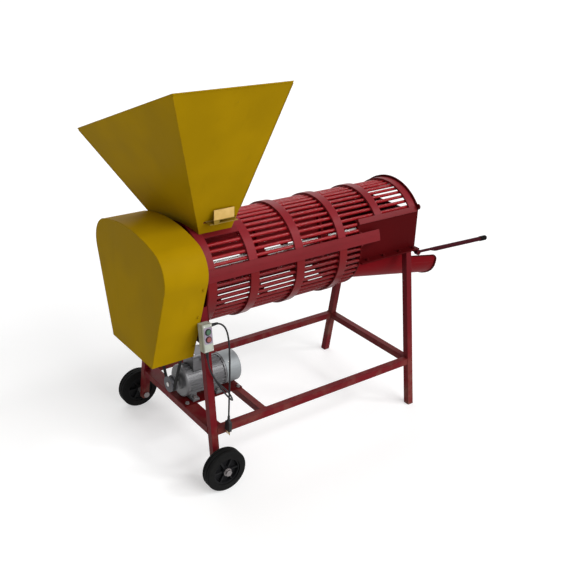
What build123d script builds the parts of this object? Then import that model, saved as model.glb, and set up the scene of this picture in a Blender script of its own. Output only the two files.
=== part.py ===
from build123d import *
import os
from math import acos, asin, atan, cos, degrees, radians, sin, sqrt, tan

os.makedirs("parts", exist_ok=True)

# Stock sizes and clearances in millimetres
SEAT = 0.1
RUNNING_FIT = 0.05
PLAY = 0.5
TUBE = 30.0
TUBE_WALL = 2.5
PLATE = 6.0
SHEET = 2.5

# Wheeled frame of square tube, near side at negative Y
WHEEL_LEG_X = 8.0
STAND_LEG_X = 1088.0
RAIL_Y = 286.0
RAIL_Z = 219.0
LEG_SPLAY = 0.154
MOTOR_CROSS_X = 263.0
WHEEL_CROSS_WIDTH = 60.0

# Wheels
WHEEL_RADIUS = 90.0
WHEEL_WIDTH = 50.0
WHEEL_TRACK = 372.5
RIM_RADIUS = 60.0
RIM_WIDTH = 38.0
RIM_RING = 6.0
HUB_RADIUS = 18.0
WEB = 6.0
RIM_RIBS = 6
TREAD_GROOVE = 4.0
TREAD_OFFSET = 8.5
TYRE_SHOULDER = 9.0
AXLE_RADIUS = 8.0
AXLE_COLLAR = 13.0
COLLAR_LENGTH = 5.0
LEG_BELOW_AXLE = 18.0
AXLE_NUT_FLATS = 24.0
AXLE_NUT_HEIGHT = 10.0
WASHER_RADIUS = 17.0
WASHER = 2.5

# Slotted hulling drum
AXIS_Z = 802.0
BAR_RADIUS = 7.0
BAR_CIRCLE = 206.0
BAR_PITCH = 7.5
HOOP_WIDTH = 40.0
HOOP_THICK = 8.0
HOOP_PITCH = 226.0
FIRST_HOOP_X = 246.0
BULKHEAD_X = 800.0
DISCHARGE_X = 1150.0
SPLIT_ANGLE = 16.0
RAIL_ANGLE = 6.5
RAIL_PROUD = 10.0
SPLIT_RAIL_LAP = 104.0
DRIVE_PLATE_DROP = 242.0
COVER_BOLT_RADIUS = 3.0
COVER_BOLT_FLATS = 10.0
COVER_BOLT_HEAD = 4.0

# Outlet box and discharge chute
OUTLET_HALF = 185.0
OUTLET_SHEET = 3.0
OUTLET_DROP = 50.0
FLANGE_MARGIN = 4.0
END_PLATE_RADIUS = 230.0
EAR_RADIUS = 13.0
WINDOW_RISE = 105.0
WINDOW_EDGE = 24.0
CHUTE_RADIUS = 150.0
CHUTE_SLOPE = 9.8
CHUTE_DROP = 104.0
CHUTE_REACH = 200.0

# Weighted discharge gate
GATE_STANDOFF = 9.0
GATE_DROP = 80.0
GATE_SHAFT_RADIUS = 7.0
GATE_SLEEVE_RADIUS = 11.0
GATE_PLATE = 4.0
GATE_CLEARANCE = 4.0
LUG_THICK = 8.0
LUG_RADIUS = 14.0
LUG_HEIGHT = 60.0
LEVER_Y = 200.0
LEVER_LENGTH = 470.0
LEVER_RADIUS = 6.5
LEVER_DROOP = 2.3
LEVER_HUB = 13.0
LEVER_HUB_LENGTH = 18.0
LEVER_GRIP_RADIUS = 9.0
LEVER_GRIP_LENGTH = 90.0
LEVER_GRIP_ROUND = 3.0

# Rotor
SHAFT_RADIUS = 15.0
SHAFT_OVERHANG = 8.0
SPIDER_HUB = 28.0
SPIDER_LENGTH = 40.0
SPIDER_ARM = 12.0
SPIDER_ARM_WIDTH = 40.0
SPIDER_REACH = 110.0
SPIDERS = 3
BEATER_INNER = 32.0
BEATER_OUTER = 150.0
BEATER_THICK = 6.0
BEATERS = 3
BEATER_ANGLE = 117.0
BEATER_END_GAP = 25.0
PEG_TIP = 178.0
PEG_RADIUS = 6.0
PEG_PITCH = 85.0
BEARING_SQUARE = 100.0
BEARING_CORNER = 18.0
BEARING_FLANGE = 13.0
BEARING_BOSS = 36.0
BEARING_DEPTH = 34.0
BEARING_TAPER = 6.0
BEARING_BOLT_SPACING = 70.0
BEARING_BOLT_FLATS = 17.0
BEARING_BOLT_HEAD = 7.0

# Belt drive
BELT_X = -32.0
LARGE_PULLEY_RADIUS = 210.0
MOTOR_PULLEY_RADIUS = 34.0
PULLEY_WIDTH = 28.0
PULLEY_RIM = 20.0
PULLEY_HUB = 35.0
PULLEY_HUB_LENGTH = 32.0
PULLEY_ARMS = 5
PULLEY_ARM_WIDTH = 30.0
PULLEY_ARM_THICK = 10.0
PULLEY_ARM_SINK = 6.0
BELT_TOP = 13.0
BELT_ROOT = 8.0
BELT_DEPTH = 8.0

# Belt guard
GUARD_FRONT = -193.0
GUARD_BACK = -10.0
GUARD_DROP = 290.0
GUARD_RISE = 240.0
GUARD_FOOT = 168.0
GUARD_FLARE = 0.314
GUARD_CORNER = 110.0
GUARD_CROWN = 700.0
GUARD_SPACER = 9.0
GUARD_SPACER_ANGLE = 35.0
GUARD_SPACER_CIRCLE = 100.0

# Motor on its plate
MOTOR_Y = -20.0
MOTOR_HEIGHT = 80.0
MOTOR_FRONT = 6.0
MOTOR_RADIUS = 62.0
MOTOR_FIN = 7.0
MOTOR_FINS = 24
MOTOR_FIN_THICK = 2.5
MOTOR_BODY_LENGTH = 190.0
SHIELD_THICK = 16.0
SHIELD_BOSS = 8.0
MOTOR_BORE = 42.0
ARMATURE_GAP = 1.0
FAN_COVER_LENGTH = 66.0
FAN_COVER_RADIUS = 70.0
FAN_SLOTS = 12
FAN_RADIUS = 60.0
FAN_BLADES = 6
FAN_WIDTH = 30.0
MOTOR_SHAFT_RADIUS = 9.5
MOTOR_FOOT_WIDTH = 30.0
MOTOR_FOOT_INSET = 15.0
MOTOR_FOOT_HEIGHT = 12.0
MOTOR_FOOT_SPAN = 130.0
MOTOR_PLATE_WIDTH = 144.0
TERMINAL_LENGTH = 80.0
TERMINAL_WIDTH = 84.0
TERMINAL_HEIGHT = 46.0

# Feed hopper, tilted towards the far side
FEED_X0 = 57.0
FEED_X1 = 205.0
FEED_NEAR_Y = -105.0
FEED_DEPTH = 225.0
RIM_X0 = -206.0
RIM_X1 = 268.0
RIM_NEAR_Y = -390.0
RIM_DEPTH = 764.0
HOPPER_RISE = 617.0
HOPPER_TILT = 20.0
HOPPER_OVER = 1.05
HOPPER_UNDER = -0.25
FRAME_ANGLE_NEAR = 56.0
FRAME_ANGLE_FAR = 140.0

# Sliding feed gate
THROAT_RISE = 244.0
THROAT_X0 = 80.0
THROAT_X1 = 188.0
THROAT_Y0 = -85.0
THROAT_Y1 = 110.0
THROAT_LAP = 8.0
FEED_GATE = 3.0
GUIDE_WIDTH = 9.0
GUIDE_LIP = 4.0
GUIDE_TOP = 3.0
FEED_GATE_REACH = 36.0
HANDLE_X0 = 87.0
HANDLE_X1 = 177.0
HANDLE_HEIGHT = 42.0
HANDLE_TAB = 24.0
HANDLE_TAB_RISE = 16.0

# Switch box on the near wheel leg
SWITCH_Z = 633.0
SWITCH_SHIFT = -14.0
SWITCH_WIDTH = 42.0
SWITCH_DEPTH = 40.0
SWITCH_HEIGHT = 112.0
SWITCH_WALL = 2.5
SWITCH_CORNER = 4.0
BUTTON_RISE = 26.0
BUTTON_SPACING = 30.0
BUTTON_RADIUS = 10.0
BUTTON_PROUD = 7.0
BUTTON_INSIDE = 12.0
BUTTON_FLANGE = 2.0
BUTTON_TRAVEL = 4.0
BUTTON_CLEARANCE = 0.4
GLAND_RADIUS = 9.0
GLAND_TIP = 5.5
GLAND_LENGTH = 14.0
GLAND_RISE = 42.0

# Leads
LEAD_DIAMETER = 7.0
ARC_SHARE = 0.45
PLUG_LENGTH = 40.0
PLUG_WIDTH = 30.0
PLUG_THICK = 14.0
PLUG_NOSE = 10.0
PLUG_ROUND = 3.5
PIN_RADIUS = 2.2
PIN_LENGTH = 18.0
PIN_SPACING = 9.5
LEAD_START = 18.0
MAINS_ROUTE = [(35, -3, -4), (50, -9, -15), (60, -17, -32), (64, -27, -57), (63, -37, -89), (59, -46, -129)]
MAINS_ROUTE += [(53, -54, -176), (47, -60, -229), (41, -64, -286), (36, -67, -346), (33, -69, -405)]
MOTOR_ROUTE = [(3, -8, -50), (11, -11, -80), (24, -12, -109), (43, -12, -137), (66, -8, -165), (91, -1, -195)]
MOTOR_ROUTE += [(114, 10, -226), (133, 25, -257), (148, 43, -281)]
RISING_ROUTE = [(59, -129, -146), (60, -106, -147), (54, -86, -136), (44, -72, -117), (32, -65, -93)]
RISING_ROUTE += [(20, -61, -69), (11, -54, -46), (5, -46, -25), (1, -34, -8)]

# Values worked out from the driving sizes
hoop_inner = BAR_CIRCLE + BAR_RADIUS + SEAT
hoop_outer = hoop_inner + HOOP_THICK
rail_outer = hoop_inner + RAIL_PROUD
bar_inner = BAR_CIRCLE - BAR_RADIUS
drive_plate_x = WHEEL_LEG_X + TUBE / 2
drum_start = drive_plate_x + PLATE
outlet_start = BULKHEAD_X + PLATE
flange_top = AXIS_Z - OUTLET_DROP
flange_bottom = flange_top - PLATE
split_low = SPLIT_ANGLE - RAIL_ANGLE
split_high = SPLIT_ANGLE + RAIL_ANGLE
sill_angle = degrees(acos(OUTLET_HALF / (hoop_inner + RAIL_PROUD / 2)))
sill_top = sill_angle + RAIL_ANGLE
split_rail_end = BULKHEAD_X + SPLIT_RAIL_LAP
gate_x = DISCHARGE_X + PLATE + GATE_STANDOFF
gate_z = AXIS_Z - GATE_DROP
chute_slope = tan(radians(CHUTE_SLOPE))
rail_top = RAIL_Z + TUBE / 2
motor_plate_top = rail_top + PLATE
motor_z = motor_plate_top + MOTOR_HEIGHT
axle_z = WHEEL_RADIUS
feed_near_z = AXIS_Z + sqrt(hoop_outer**2 - FEED_NEAR_Y**2)
hopper_slope = tan(radians(HOPPER_TILT))
throat_z = AXIS_Z + THROAT_RISE
lean = degrees(atan(LEG_SPLAY))
lever_tip = gate_x + LEVER_LENGTH * cos(radians(LEVER_DROOP))
middle_x = (min(GUARD_FRONT, RIM_X0) + lever_tip) / 2


def save(node, *pieces):
    """Write the solids of one node, centred over the machine's length."""
    solids = [solid for piece in pieces for solid in piece.solids()]
    shape = solids[0] if len(solids) == 1 else Compound(solids)
    export_step(shape.moved(Location((-middle_x, 0, 0))), f"parts/{node}.step")


def far(shape):
    """The far-side twin of a near-side piece."""
    return mirror(shape, Plane.XZ)


def block(x0, x1, y0, y1, z0, z1):
    return Pos((x0 + x1) / 2, (y0 + y1) / 2, (z0 + z1) / 2) * Box(x1 - x0, y1 - y0, z1 - z0)


def rod_x(radius, x0, x1, y, z):
    return Pos((x0 + x1) / 2, y, z) * Rot(0, 90, 0) * Cylinder(radius, x1 - x0)


def rod_y(radius, y0, y1, x, z):
    return Pos(x, (y0 + y1) / 2, z) * Rot(90, 0, 0) * Cylinder(radius, y1 - y0)


def nut_x(flats, x0, x1, y, z):
    plane = Plane((x0, y, z), x_dir=(0, 1, 0), z_dir=(1, 0, 0))
    return extrude(plane * RegularPolygon(flats / 2, 6, major_radius=False), x1 - x0)


def across(sketch, x0, x1):
    """Extrude a sketch drawn in Y and Z along the machine."""
    face = Plane((x0, 0, 0), x_dir=(0, 1, 0), z_dir=(1, 0, 0)) * sketch
    return extrude(face, x1 - x0, dir=(1, 0, 0))


def polar(radius, angle):
    """Point of a drum section: angle 0 at the near side, 90 at the top."""
    return (-radius * cos(radians(angle)), AXIS_Z + radius * sin(radians(angle)))


def sector(inner, outer, start, end, x0, x1):
    middle = (start + end) / 2
    outer_arc = ThreePointArc(polar(outer, start), polar(outer, middle), polar(outer, end))
    inner_arc = ThreePointArc(polar(inner, end), polar(inner, middle), polar(inner, start))
    edges = [outer_arc, Line(polar(outer, end), polar(inner, end))]
    edges += [inner_arc, Line(polar(inner, start), polar(outer, start))]
    return across(make_face(edges), x0, x1)


def leg_y(z):
    """Distance of a leg's centre line from the middle plane at a height."""
    return RAIL_Y - LEG_SPLAY * (z - RAIL_Z)


def hollow(width, height):
    return Rectangle(width, height) - Rectangle(width - 2 * TUBE_WALL, height - 2 * TUBE_WALL)


def tube_x(x0, x1, y, z):
    face = Plane((x0, y, z), x_dir=(0, 1, 0), z_dir=(1, 0, 0)) * hollow(TUBE, TUBE)
    return extrude(face, x1 - x0)


def tube_y(half, x, z, width):
    face = Plane((x, -half, z), x_dir=(1, 0, 0), z_dir=(0, 1, 0)) * hollow(width, TUBE)
    return extrude(face, 2 * half)


def leaning(section, x, z0, z1):
    """Draw a level section up along the near legs."""
    face = (Pos(x, -leg_y(z0), z0) * section).face()
    return Solid.extrude(face, Vector(0, leg_y(z0) - leg_y(z1), z1 - z0))


def near_leg(x, z0, z1):
    """Square tube with a welded cap closing its foot."""
    cap = leaning(Rectangle(TUBE, TUBE), x, z0, z0 + TUBE_WALL)
    return cap + leaning(hollow(TUBE, TUBE), x, z0 + TUBE_WALL, z1)


def make_frame():
    stand_leg = near_leg(STAND_LEG_X, 0, flange_bottom)
    wheel_leg = near_leg(WHEEL_LEG_X, axle_z - LEG_BELOW_AXLE, flange_bottom)
    axle_hole = rod_y(AXLE_RADIUS + SEAT, -2 * RAIL_Y, 0, WHEEL_LEG_X, axle_z)
    wheel_leg = wheel_leg - axle_hole
    save("stand_leg_near", stand_leg)
    save("stand_leg_far", far(stand_leg))
    save("wheel_leg_near", wheel_leg)
    save("wheel_leg_far", far(wheel_leg))
    rail = tube_x(WHEEL_LEG_X + TUBE / 2, STAND_LEG_X - TUBE / 2, -RAIL_Y, RAIL_Z)
    save("side_rail_near", rail)
    save("side_rail_far", far(rail))
    between_legs = leg_y(rail_top) - TUBE / 2
    wheel_cross_x = WHEEL_LEG_X + (WHEEL_CROSS_WIDTH - TUBE) / 2
    save("cross_rail_wheel_end", tube_y(between_legs, wheel_cross_x, RAIL_Z, WHEEL_CROSS_WIDTH))
    save("cross_rail_stand_end", tube_y(between_legs, STAND_LEG_X, RAIL_Z, TUBE))
    save("cross_rail_motor", tube_y(RAIL_Y - TUBE / 2, MOTOR_CROSS_X, RAIL_Z, TUBE))
    plate_y0 = MOTOR_Y - MOTOR_PLATE_WIDTH / 2
    plate_x0 = WHEEL_LEG_X - TUBE / 2
    plate_x1 = MOTOR_CROSS_X + TUBE / 2
    plate_y1 = plate_y0 + MOTOR_PLATE_WIDTH
    save("motor_plate", block(plate_x0, plate_x1, plate_y0, plate_y1, rail_top, motor_plate_top))


def turned_y(profile, y):
    """Revolve a profile drawn as radius and distance along Y, then set it over the axle."""
    return Pos(WHEEL_LEG_X, y, axle_z) * revolve(profile, Axis.Y)


def make_wheels():
    tyre_depth = WHEEL_RADIUS - RIM_RADIUS
    tread = Pos(RIM_RADIUS + tyre_depth / 2, 0) * Rectangle(tyre_depth, WHEEL_WIDTH)
    tread = fillet(tread.vertices().group_by(Axis.X)[-1], TYRE_SHOULDER)
    for row in (-1, 1):
        groove = Pos(WHEEL_RADIUS, row * TREAD_OFFSET) * Rectangle(2 * TREAD_GROOVE, TREAD_GROOVE)
        tread = tread - groove
    bore = AXLE_RADIUS + RUNNING_FIT
    ring_inner = RIM_RADIUS - SEAT - RIM_RING
    hub = Pos((bore + HUB_RADIUS) / 2, 0) * Rectangle(HUB_RADIUS - bore, WHEEL_WIDTH)
    web = Pos((HUB_RADIUS + ring_inner) / 2, 0) * Rectangle(ring_inner - HUB_RADIUS, WEB)
    ring = Pos(ring_inner + RIM_RING / 2, 0) * Rectangle(RIM_RING, RIM_WIDTH)
    disc = revolve(hub + web + ring, Axis.Y)
    rib_length = ring_inner - HUB_RADIUS
    for turn in range(RIM_RIBS):
        rib = Pos(HUB_RADIUS + rib_length / 2, 0, 0) * Box(rib_length + WEB / 2, RIM_WIDTH - WEB, WEB)
        disc = disc + Rot(0, turn * 360 / RIM_RIBS, 0) * rib
    tyre = turned_y(tread, -WHEEL_TRACK)
    rim = Pos(WHEEL_LEG_X, -WHEEL_TRACK, axle_z) * disc
    save("tyre_near", tyre)
    save("tyre_far", far(tyre))
    save("rim_near", rim)
    save("rim_far", far(rim))
    collar_out = leg_y(axle_z + AXLE_COLLAR) - TUBE / 2 - SEAT
    shoulder_in = leg_y(axle_z - AXLE_COLLAR) + TUBE / 2 + SEAT
    hub_in = WHEEL_TRACK - WHEEL_WIDTH / 2 - PLAY
    washer_in = WHEEL_TRACK + WHEEL_WIDTH / 2 + PLAY
    nut_in = washer_in + WASHER
    axle_end = nut_in + AXLE_NUT_HEIGHT
    axle = rod_y(AXLE_RADIUS, -axle_end, -collar_out, WHEEL_LEG_X, axle_z)
    axle = axle + rod_y(AXLE_COLLAR, -collar_out, COLLAR_LENGTH - collar_out, WHEEL_LEG_X, axle_z)
    axle = axle + rod_y(AXLE_COLLAR, -hub_in, -shoulder_in, WHEEL_LEG_X, axle_z)
    save("stub_axles", axle, far(axle))
    washer = rod_y(WASHER_RADIUS, -nut_in, -washer_in, WHEEL_LEG_X, axle_z)
    nut_plane = Plane((WHEEL_LEG_X, -nut_in, axle_z), x_dir=(1, 0, 0), z_dir=(0, -1, 0))
    nut = extrude(nut_plane * RegularPolygon(AXLE_NUT_FLATS / 2, 6, major_radius=False), AXLE_NUT_HEIGHT)
    nut = washer + nut - rod_y(AXLE_RADIUS + SEAT, -2 * axle_end, 0, WHEEL_LEG_X, axle_z)
    save("axle_nuts", nut, far(nut))


def bar(angle, x0, x1):
    y, z = polar(BAR_CIRCLE, angle)
    return rod_x(BAR_RADIUS, x0, x1, y, z)


def hoop_places(last):
    """Centres of the hoops from the drive end up to a place along the drum."""
    places = [drum_start + HOOP_WIDTH / 2]
    place = FIRST_HOOP_X
    while place + HOOP_WIDTH / 2 <= last:
        places.append(place)
        place += HOOP_PITCH
    return places


def hoop(place, start, end):
    return sector(hoop_inner, hoop_outer, start, end, place - HOOP_WIDTH / 2, place + HOOP_WIDTH / 2)


def bar_angles(start, end):
    """Bars stand half a pitch off the horizontal, clear of the two ends."""
    count = int(360 / BAR_PITCH)
    margin = degrees(asin(BAR_RADIUS / BAR_CIRCLE))
    angles = [(place + 0.5) * BAR_PITCH for place in range(-count, count)]
    return [angle for angle in angles if start + margin < angle < end - margin]


def make_lower_drum():
    places = hoop_places(BULKHEAD_X)
    save("lower_hoops", *[hoop(place, -180 - split_low, split_low) for place in places])
    angles = bar_angles(-180 - split_low, split_low)
    save("lower_bars", *[bar(angle, drum_start, BULKHEAD_X) for angle in angles])


def cover_bolt(place):
    """One clamp bolt through the two rails of the near split."""
    reach = (rail_outer + COVER_BOLT_FLATS / 2) * tan(radians(RAIL_ANGLE))
    bolt = Cylinder(COVER_BOLT_RADIUS, 2 * reach)
    hexagon = RegularPolygon(COVER_BOLT_FLATS / 2, 6, major_radius=False)
    bolt = bolt + extrude(Pos(0, 0, reach) * hexagon, COVER_BOLT_HEAD)
    bolt = bolt + extrude(Pos(0, 0, -reach - COVER_BOLT_HEAD) * hexagon, COVER_BOLT_HEAD)
    return on_split(place, bolt)


def on_split(place, shape):
    """Set an upright piece across the near split line of the drum."""
    y, z = polar(hoop_inner + RAIL_PROUD / 2, SPLIT_ANGLE)
    return Pos(place, y, z) * Rot(-SPLIT_ANGLE, 0, 0) * shape


def make_split_rails():
    edges = hoop_places(BULKHEAD_X) + [split_rail_end]
    places = [(before + after) / 2 for before, after in zip(edges, edges[1:])]
    hole = Cylinder(COVER_BOLT_RADIUS + SEAT, 4 * TUBE)
    lower = sector(hoop_inner, rail_outer, split_low, SPLIT_ANGLE, drum_start, split_rail_end)
    upper = sector(hoop_inner, rail_outer, SPLIT_ANGLE, split_high, drum_start, split_rail_end)
    outlet = block(outlet_start, DISCHARGE_X, -OUTLET_HALF - SEAT, OUTLET_HALF, flange_bottom, 2 * AXIS_Z)
    lower = lower - outlet
    upper = upper - outlet
    for place in places:
        lower = lower - on_split(place, hole)
        upper = upper - on_split(place, hole)
    upper = upper + sector(hoop_inner, rail_outer, sill_angle, sill_top, outlet_start, DISCHARGE_X)
    save("split_rails", lower, far(lower))
    save("cover_rails", upper, far(upper))
    cover_bolts = [cover_bolt(place) for place in places]
    cover_bolts += [far(bolt) for bolt in cover_bolts]
    save("drum_bolts", *cover_bolts, *bearing_bolts())


def make_cover():
    hoops = [hoop(place, split_high, 180 - split_high) for place in hoop_places(BULKHEAD_X)]
    outlet_hoops = [place for place in hoop_places(DISCHARGE_X) if place > BULKHEAD_X]
    outlet_hoops.append(DISCHARGE_X - HOOP_WIDTH / 2)
    hoops += [hoop(place, sill_top, 180 - sill_top) for place in outlet_hoops]
    save("upper_hoops", *hoops)
    throat_end = FIRST_HOOP_X - HOOP_WIDTH / 2
    bars = []
    for angle in bar_angles(split_high, 180 - split_high):
        feeding = FRAME_ANGLE_NEAR < angle < FRAME_ANGLE_FAR
        over_outlet = sill_top < angle < 180 - sill_top
        start = throat_end if feeding else drum_start
        end = DISCHARGE_X if over_outlet else BULKHEAD_X
        bars.append(bar(angle, start, end))
    save("upper_bars", *bars)


def make_drive_plate():
    foot_z = AXIS_Z - DRIVE_PLATE_DROP
    edge = TUBE / 2 - FLANGE_MARGIN
    foot = leg_y(foot_z) + edge
    top = leg_y(flange_bottom) + edge
    corners = [(-top, flange_bottom), (-foot, foot_z), (foot, foot_z), (top, flange_bottom)]
    shape = Pos(0, AXIS_Z) * Circle(hoop_outer) + make_face(Polyline(corners, close=True))
    shape = shape - Pos(0, AXIS_Z) * Circle(SHAFT_RADIUS + PLAY)
    save("drive_end_plate", across(shape, drive_plate_x, drum_start))


def wedge(start, end):
    """Everything above two slanted lines from the drum's axis."""
    reach = 3 * END_PLATE_RADIUS
    corners = [(0, AXIS_Z), polar(reach, start), (0, AXIS_Z + 2 * reach), polar(reach, end)]
    return make_face(Polyline(corners, close=True))


def chute_axis(x):
    return AXIS_Z - CHUTE_DROP - chute_slope * (x - gate_x)


def make_outlet():
    inside = OUTLET_HALF - OUTLET_SHEET
    trough = CHUTE_RADIUS - OUTLET_SHEET
    floor_z = chute_axis(outlet_start)
    passage = Pos(0, floor_z) * Circle(trough)
    passage = passage + Pos(0, (floor_z + flange_top) / 2) * Rectangle(2 * trough, abs(flange_top - floor_z))
    passage = passage + Pos(0, flange_top + bar_inner) * Rectangle(2 * inside, 2 * bar_inner)
    opening = (Pos(0, AXIS_Z) * Circle(bar_inner)) & passage
    bulkhead = Pos(0, AXIS_Z) * Circle(hoop_inner - SEAT) - opening - wedge(sill_top, 180 - sill_top)
    save("outlet_bulkhead", across(bulkhead, BULKHEAD_X, outlet_start))
    wall_place = Pos(-OUTLET_HALF + OUTLET_SHEET / 2, flange_top + OUTLET_HALF / 2)
    wall = wall_place * Rectangle(OUTLET_SHEET, OUTLET_HALF) - wedge(sill_angle, 180 - sill_angle)
    flange_edge = leg_y(flange_bottom) + TUBE / 2 + FLANGE_MARGIN
    flange_width = flange_edge - CHUTE_RADIUS
    flange = Pos(-CHUTE_RADIUS - flange_width / 2, flange_top - PLATE / 2) * Rectangle(flange_width, PLATE)
    side = across(wall + flange, outlet_start, DISCHARGE_X)
    save("outlet_wall_near", side)
    save("outlet_wall_far", far(side))
    below = Rectangle(2 * OUTLET_HALF, 2 * END_PLATE_RADIUS, align=(Align.CENTER, Align.MIN))
    plate = (Pos(0, AXIS_Z) * Circle(END_PLATE_RADIUS)) & (Pos(0, flange_bottom) * below)
    ear_z = AXIS_Z + sqrt(END_PLATE_RADIUS**2 - OUTLET_HALF**2)
    for y in (-OUTLET_HALF, OUTLET_HALF):
        plate = plate + Pos(y, ear_z) * Circle(EAR_RADIUS)
    window_half = OUTLET_HALF - WINDOW_EDGE
    window = Rectangle(2 * window_half, END_PLATE_RADIUS, align=(Align.CENTER, Align.MIN))
    plate = plate - (Pos(0, AXIS_Z + WINDOW_RISE) * window & Pos(0, AXIS_Z) * Circle(bar_inner))
    plate = plate - Pos(0, AXIS_Z) * Circle(SHAFT_RADIUS + PLAY)
    lug = gate_lug()
    save("discharge_end_plate", across(plate, DISCHARGE_X, DISCHARGE_X + PLATE) + lug + far(lug))


def trough_section(radius):
    return Circle(radius) + Rectangle(2 * radius, OUTLET_HALF, align=(Align.CENTER, Align.MIN))


def make_chute():
    upstream = gate_x - outlet_start + CHUTE_RADIUS
    mouth_x = DISCHARGE_X + CHUTE_REACH
    downstream = (mouth_x - gate_x) / cos(radians(CHUTE_SLOPE)) + CHUTE_RADIUS
    section = trough_section(CHUTE_RADIUS) - trough_section(CHUTE_RADIUS - OUTLET_SHEET)
    roof = Pos(0, OUTLET_HALF) * Rectangle(3 * CHUTE_RADIUS, 3 * OUTLET_SHEET)
    trough = across(section - roof, -upstream, downstream)
    trough = Pos(gate_x, 0, chute_axis(gate_x)) * Rot(0, CHUTE_SLOPE, 0) * trough
    end = mouth_x + 2 * CHUTE_RADIUS
    corners = [(0, flange_top), (DISCHARGE_X, flange_top), (DISCHARGE_X, chute_axis(DISCHARGE_X))]
    corners += [(end, chute_axis(end)), (end, 2 * AXIS_Z), (0, 2 * AXIS_Z)]
    above = extrude(Plane.XZ * make_face(Polyline(corners, close=True)), 2 * CHUTE_RADIUS, both=True)
    behind = block(0, outlet_start, -2 * CHUTE_RADIUS, 2 * CHUTE_RADIUS, 0, AXIS_Z)
    past = block(mouth_x, end, -2 * CHUTE_RADIUS, 2 * CHUTE_RADIUS, 0, AXIS_Z)
    save("discharge_chute", trough - above - behind - past)


def gate_lug():
    """Near hinge eye of the discharge gate, standing on the end plate."""
    back = DISCHARGE_X + PLATE
    width = gate_x + LUG_RADIUS - back
    lug = Pos(back + width / 2, gate_z + LUG_HEIGHT / 2) * Rectangle(width, LUG_HEIGHT)
    outside = Rectangle(2 * LUG_HEIGHT, 2 * LUG_HEIGHT, align=(Align.MIN, Align.CENTER))
    lug = lug + (Pos(gate_x, gate_z) * Circle(LUG_RADIUS) & Pos(back, gate_z) * outside)
    lug = lug - Pos(gate_x, gate_z) * Circle(GATE_SHAFT_RADIUS + RUNNING_FIT)
    plane = Plane((0, -CHUTE_RADIUS, 0), x_dir=(1, 0, 0), z_dir=(0, -1, 0))
    return extrude(plane * lug, LUG_THICK)


def make_gate():
    width = CHUTE_RADIUS - OUTLET_SHEET - GATE_CLEARANCE
    bowl_z = chute_axis(gate_x)
    flap = Pos(0, bowl_z) * Circle(width)
    flap = flap + Pos(0, (bowl_z + gate_z) / 2) * Rectangle(2 * width, gate_z - bowl_z)
    below = Pos(0, gate_z) * Rectangle(4 * width, 4 * width, align=(Align.CENTER, Align.MAX))
    flap = across(flap & below, gate_x - GATE_PLATE / 2, gate_x + GATE_PLATE / 2)
    flap = flap + rod_y(GATE_SLEEVE_RADIUS, -width, width, gate_x, gate_z)
    hub_in = LEVER_Y - LEVER_HUB_LENGTH / 2
    hub_out = LEVER_Y + LEVER_HUB_LENGTH / 2
    far_end = CHUTE_RADIUS + 2 * LUG_THICK
    save("gate_flap", flap + rod_y(GATE_SHAFT_RADIUS, -hub_out, far_end, gate_x, gate_z))
    hub = rod_y(LEVER_HUB, -hub_out, -hub_in, gate_x, gate_z)
    rod = rod_x(LEVER_RADIUS, 0, LEVER_LENGTH, 0, 0)
    grip = rod_x(LEVER_GRIP_RADIUS, LEVER_LENGTH - LEVER_GRIP_LENGTH, LEVER_LENGTH, 0, 0)
    grip = fillet(grip.edges().filter_by(GeomType.CIRCLE), LEVER_GRIP_ROUND)
    place = Pos(gate_x, -LEVER_Y, gate_z) * Rot(0, LEVER_DROOP, 0)
    rod = place * (rod - rod_x(LEVER_RADIUS + SEAT, LEVER_LENGTH - LEVER_GRIP_LENGTH, 2 * LEVER_LENGTH, 0, 0))
    bore = rod_y(GATE_SHAFT_RADIUS + RUNNING_FIT, -2 * LEVER_Y, 0, gate_x, gate_z)
    save("gate_lever", hub + rod - bore)
    save("lever_grip", place * grip)


def flange_bearing():
    """Square flange bearing on the plane X = 0, its boss pointing to positive X."""
    square = RectangleRounded(BEARING_SQUARE, BEARING_SQUARE, BEARING_CORNER)
    bore = SHAFT_RADIUS + RUNNING_FIT
    body = extrude(Plane.YZ * square, BEARING_FLANGE)
    body = body + extrude(Plane.YZ * Circle(BEARING_BOSS), BEARING_DEPTH, taper=BEARING_TAPER)
    return body - rod_x(bore, -BEARING_DEPTH, 2 * BEARING_DEPTH, 0, 0)


def bearing_places():
    drive = Pos(drive_plate_x, 0, AXIS_Z) * Rot(0, 0, 180)
    return drive, Pos(DISCHARGE_X + PLATE, 0, AXIS_Z)


def bearing_bolts():
    half = BEARING_BOLT_SPACING / 2
    end = BEARING_FLANGE + BEARING_BOLT_HEAD
    bolts = []
    for place in bearing_places():
        for y in (-half, half):
            bolts += [place * nut_x(BEARING_BOLT_FLATS, BEARING_FLANGE, end, y, z) for z in (-half, half)]
    return bolts


def make_bearings():
    drive, discharge = bearing_places()
    save("drive_bearing", drive * flange_bearing())
    save("discharge_bearing", discharge * flange_bearing())


def spoke(shape, angle):
    """Turn a piece that points to the near side to a drum angle."""
    return Pos(0, 0, AXIS_Z) * Rot(-angle, 0, 0) * shape


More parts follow.
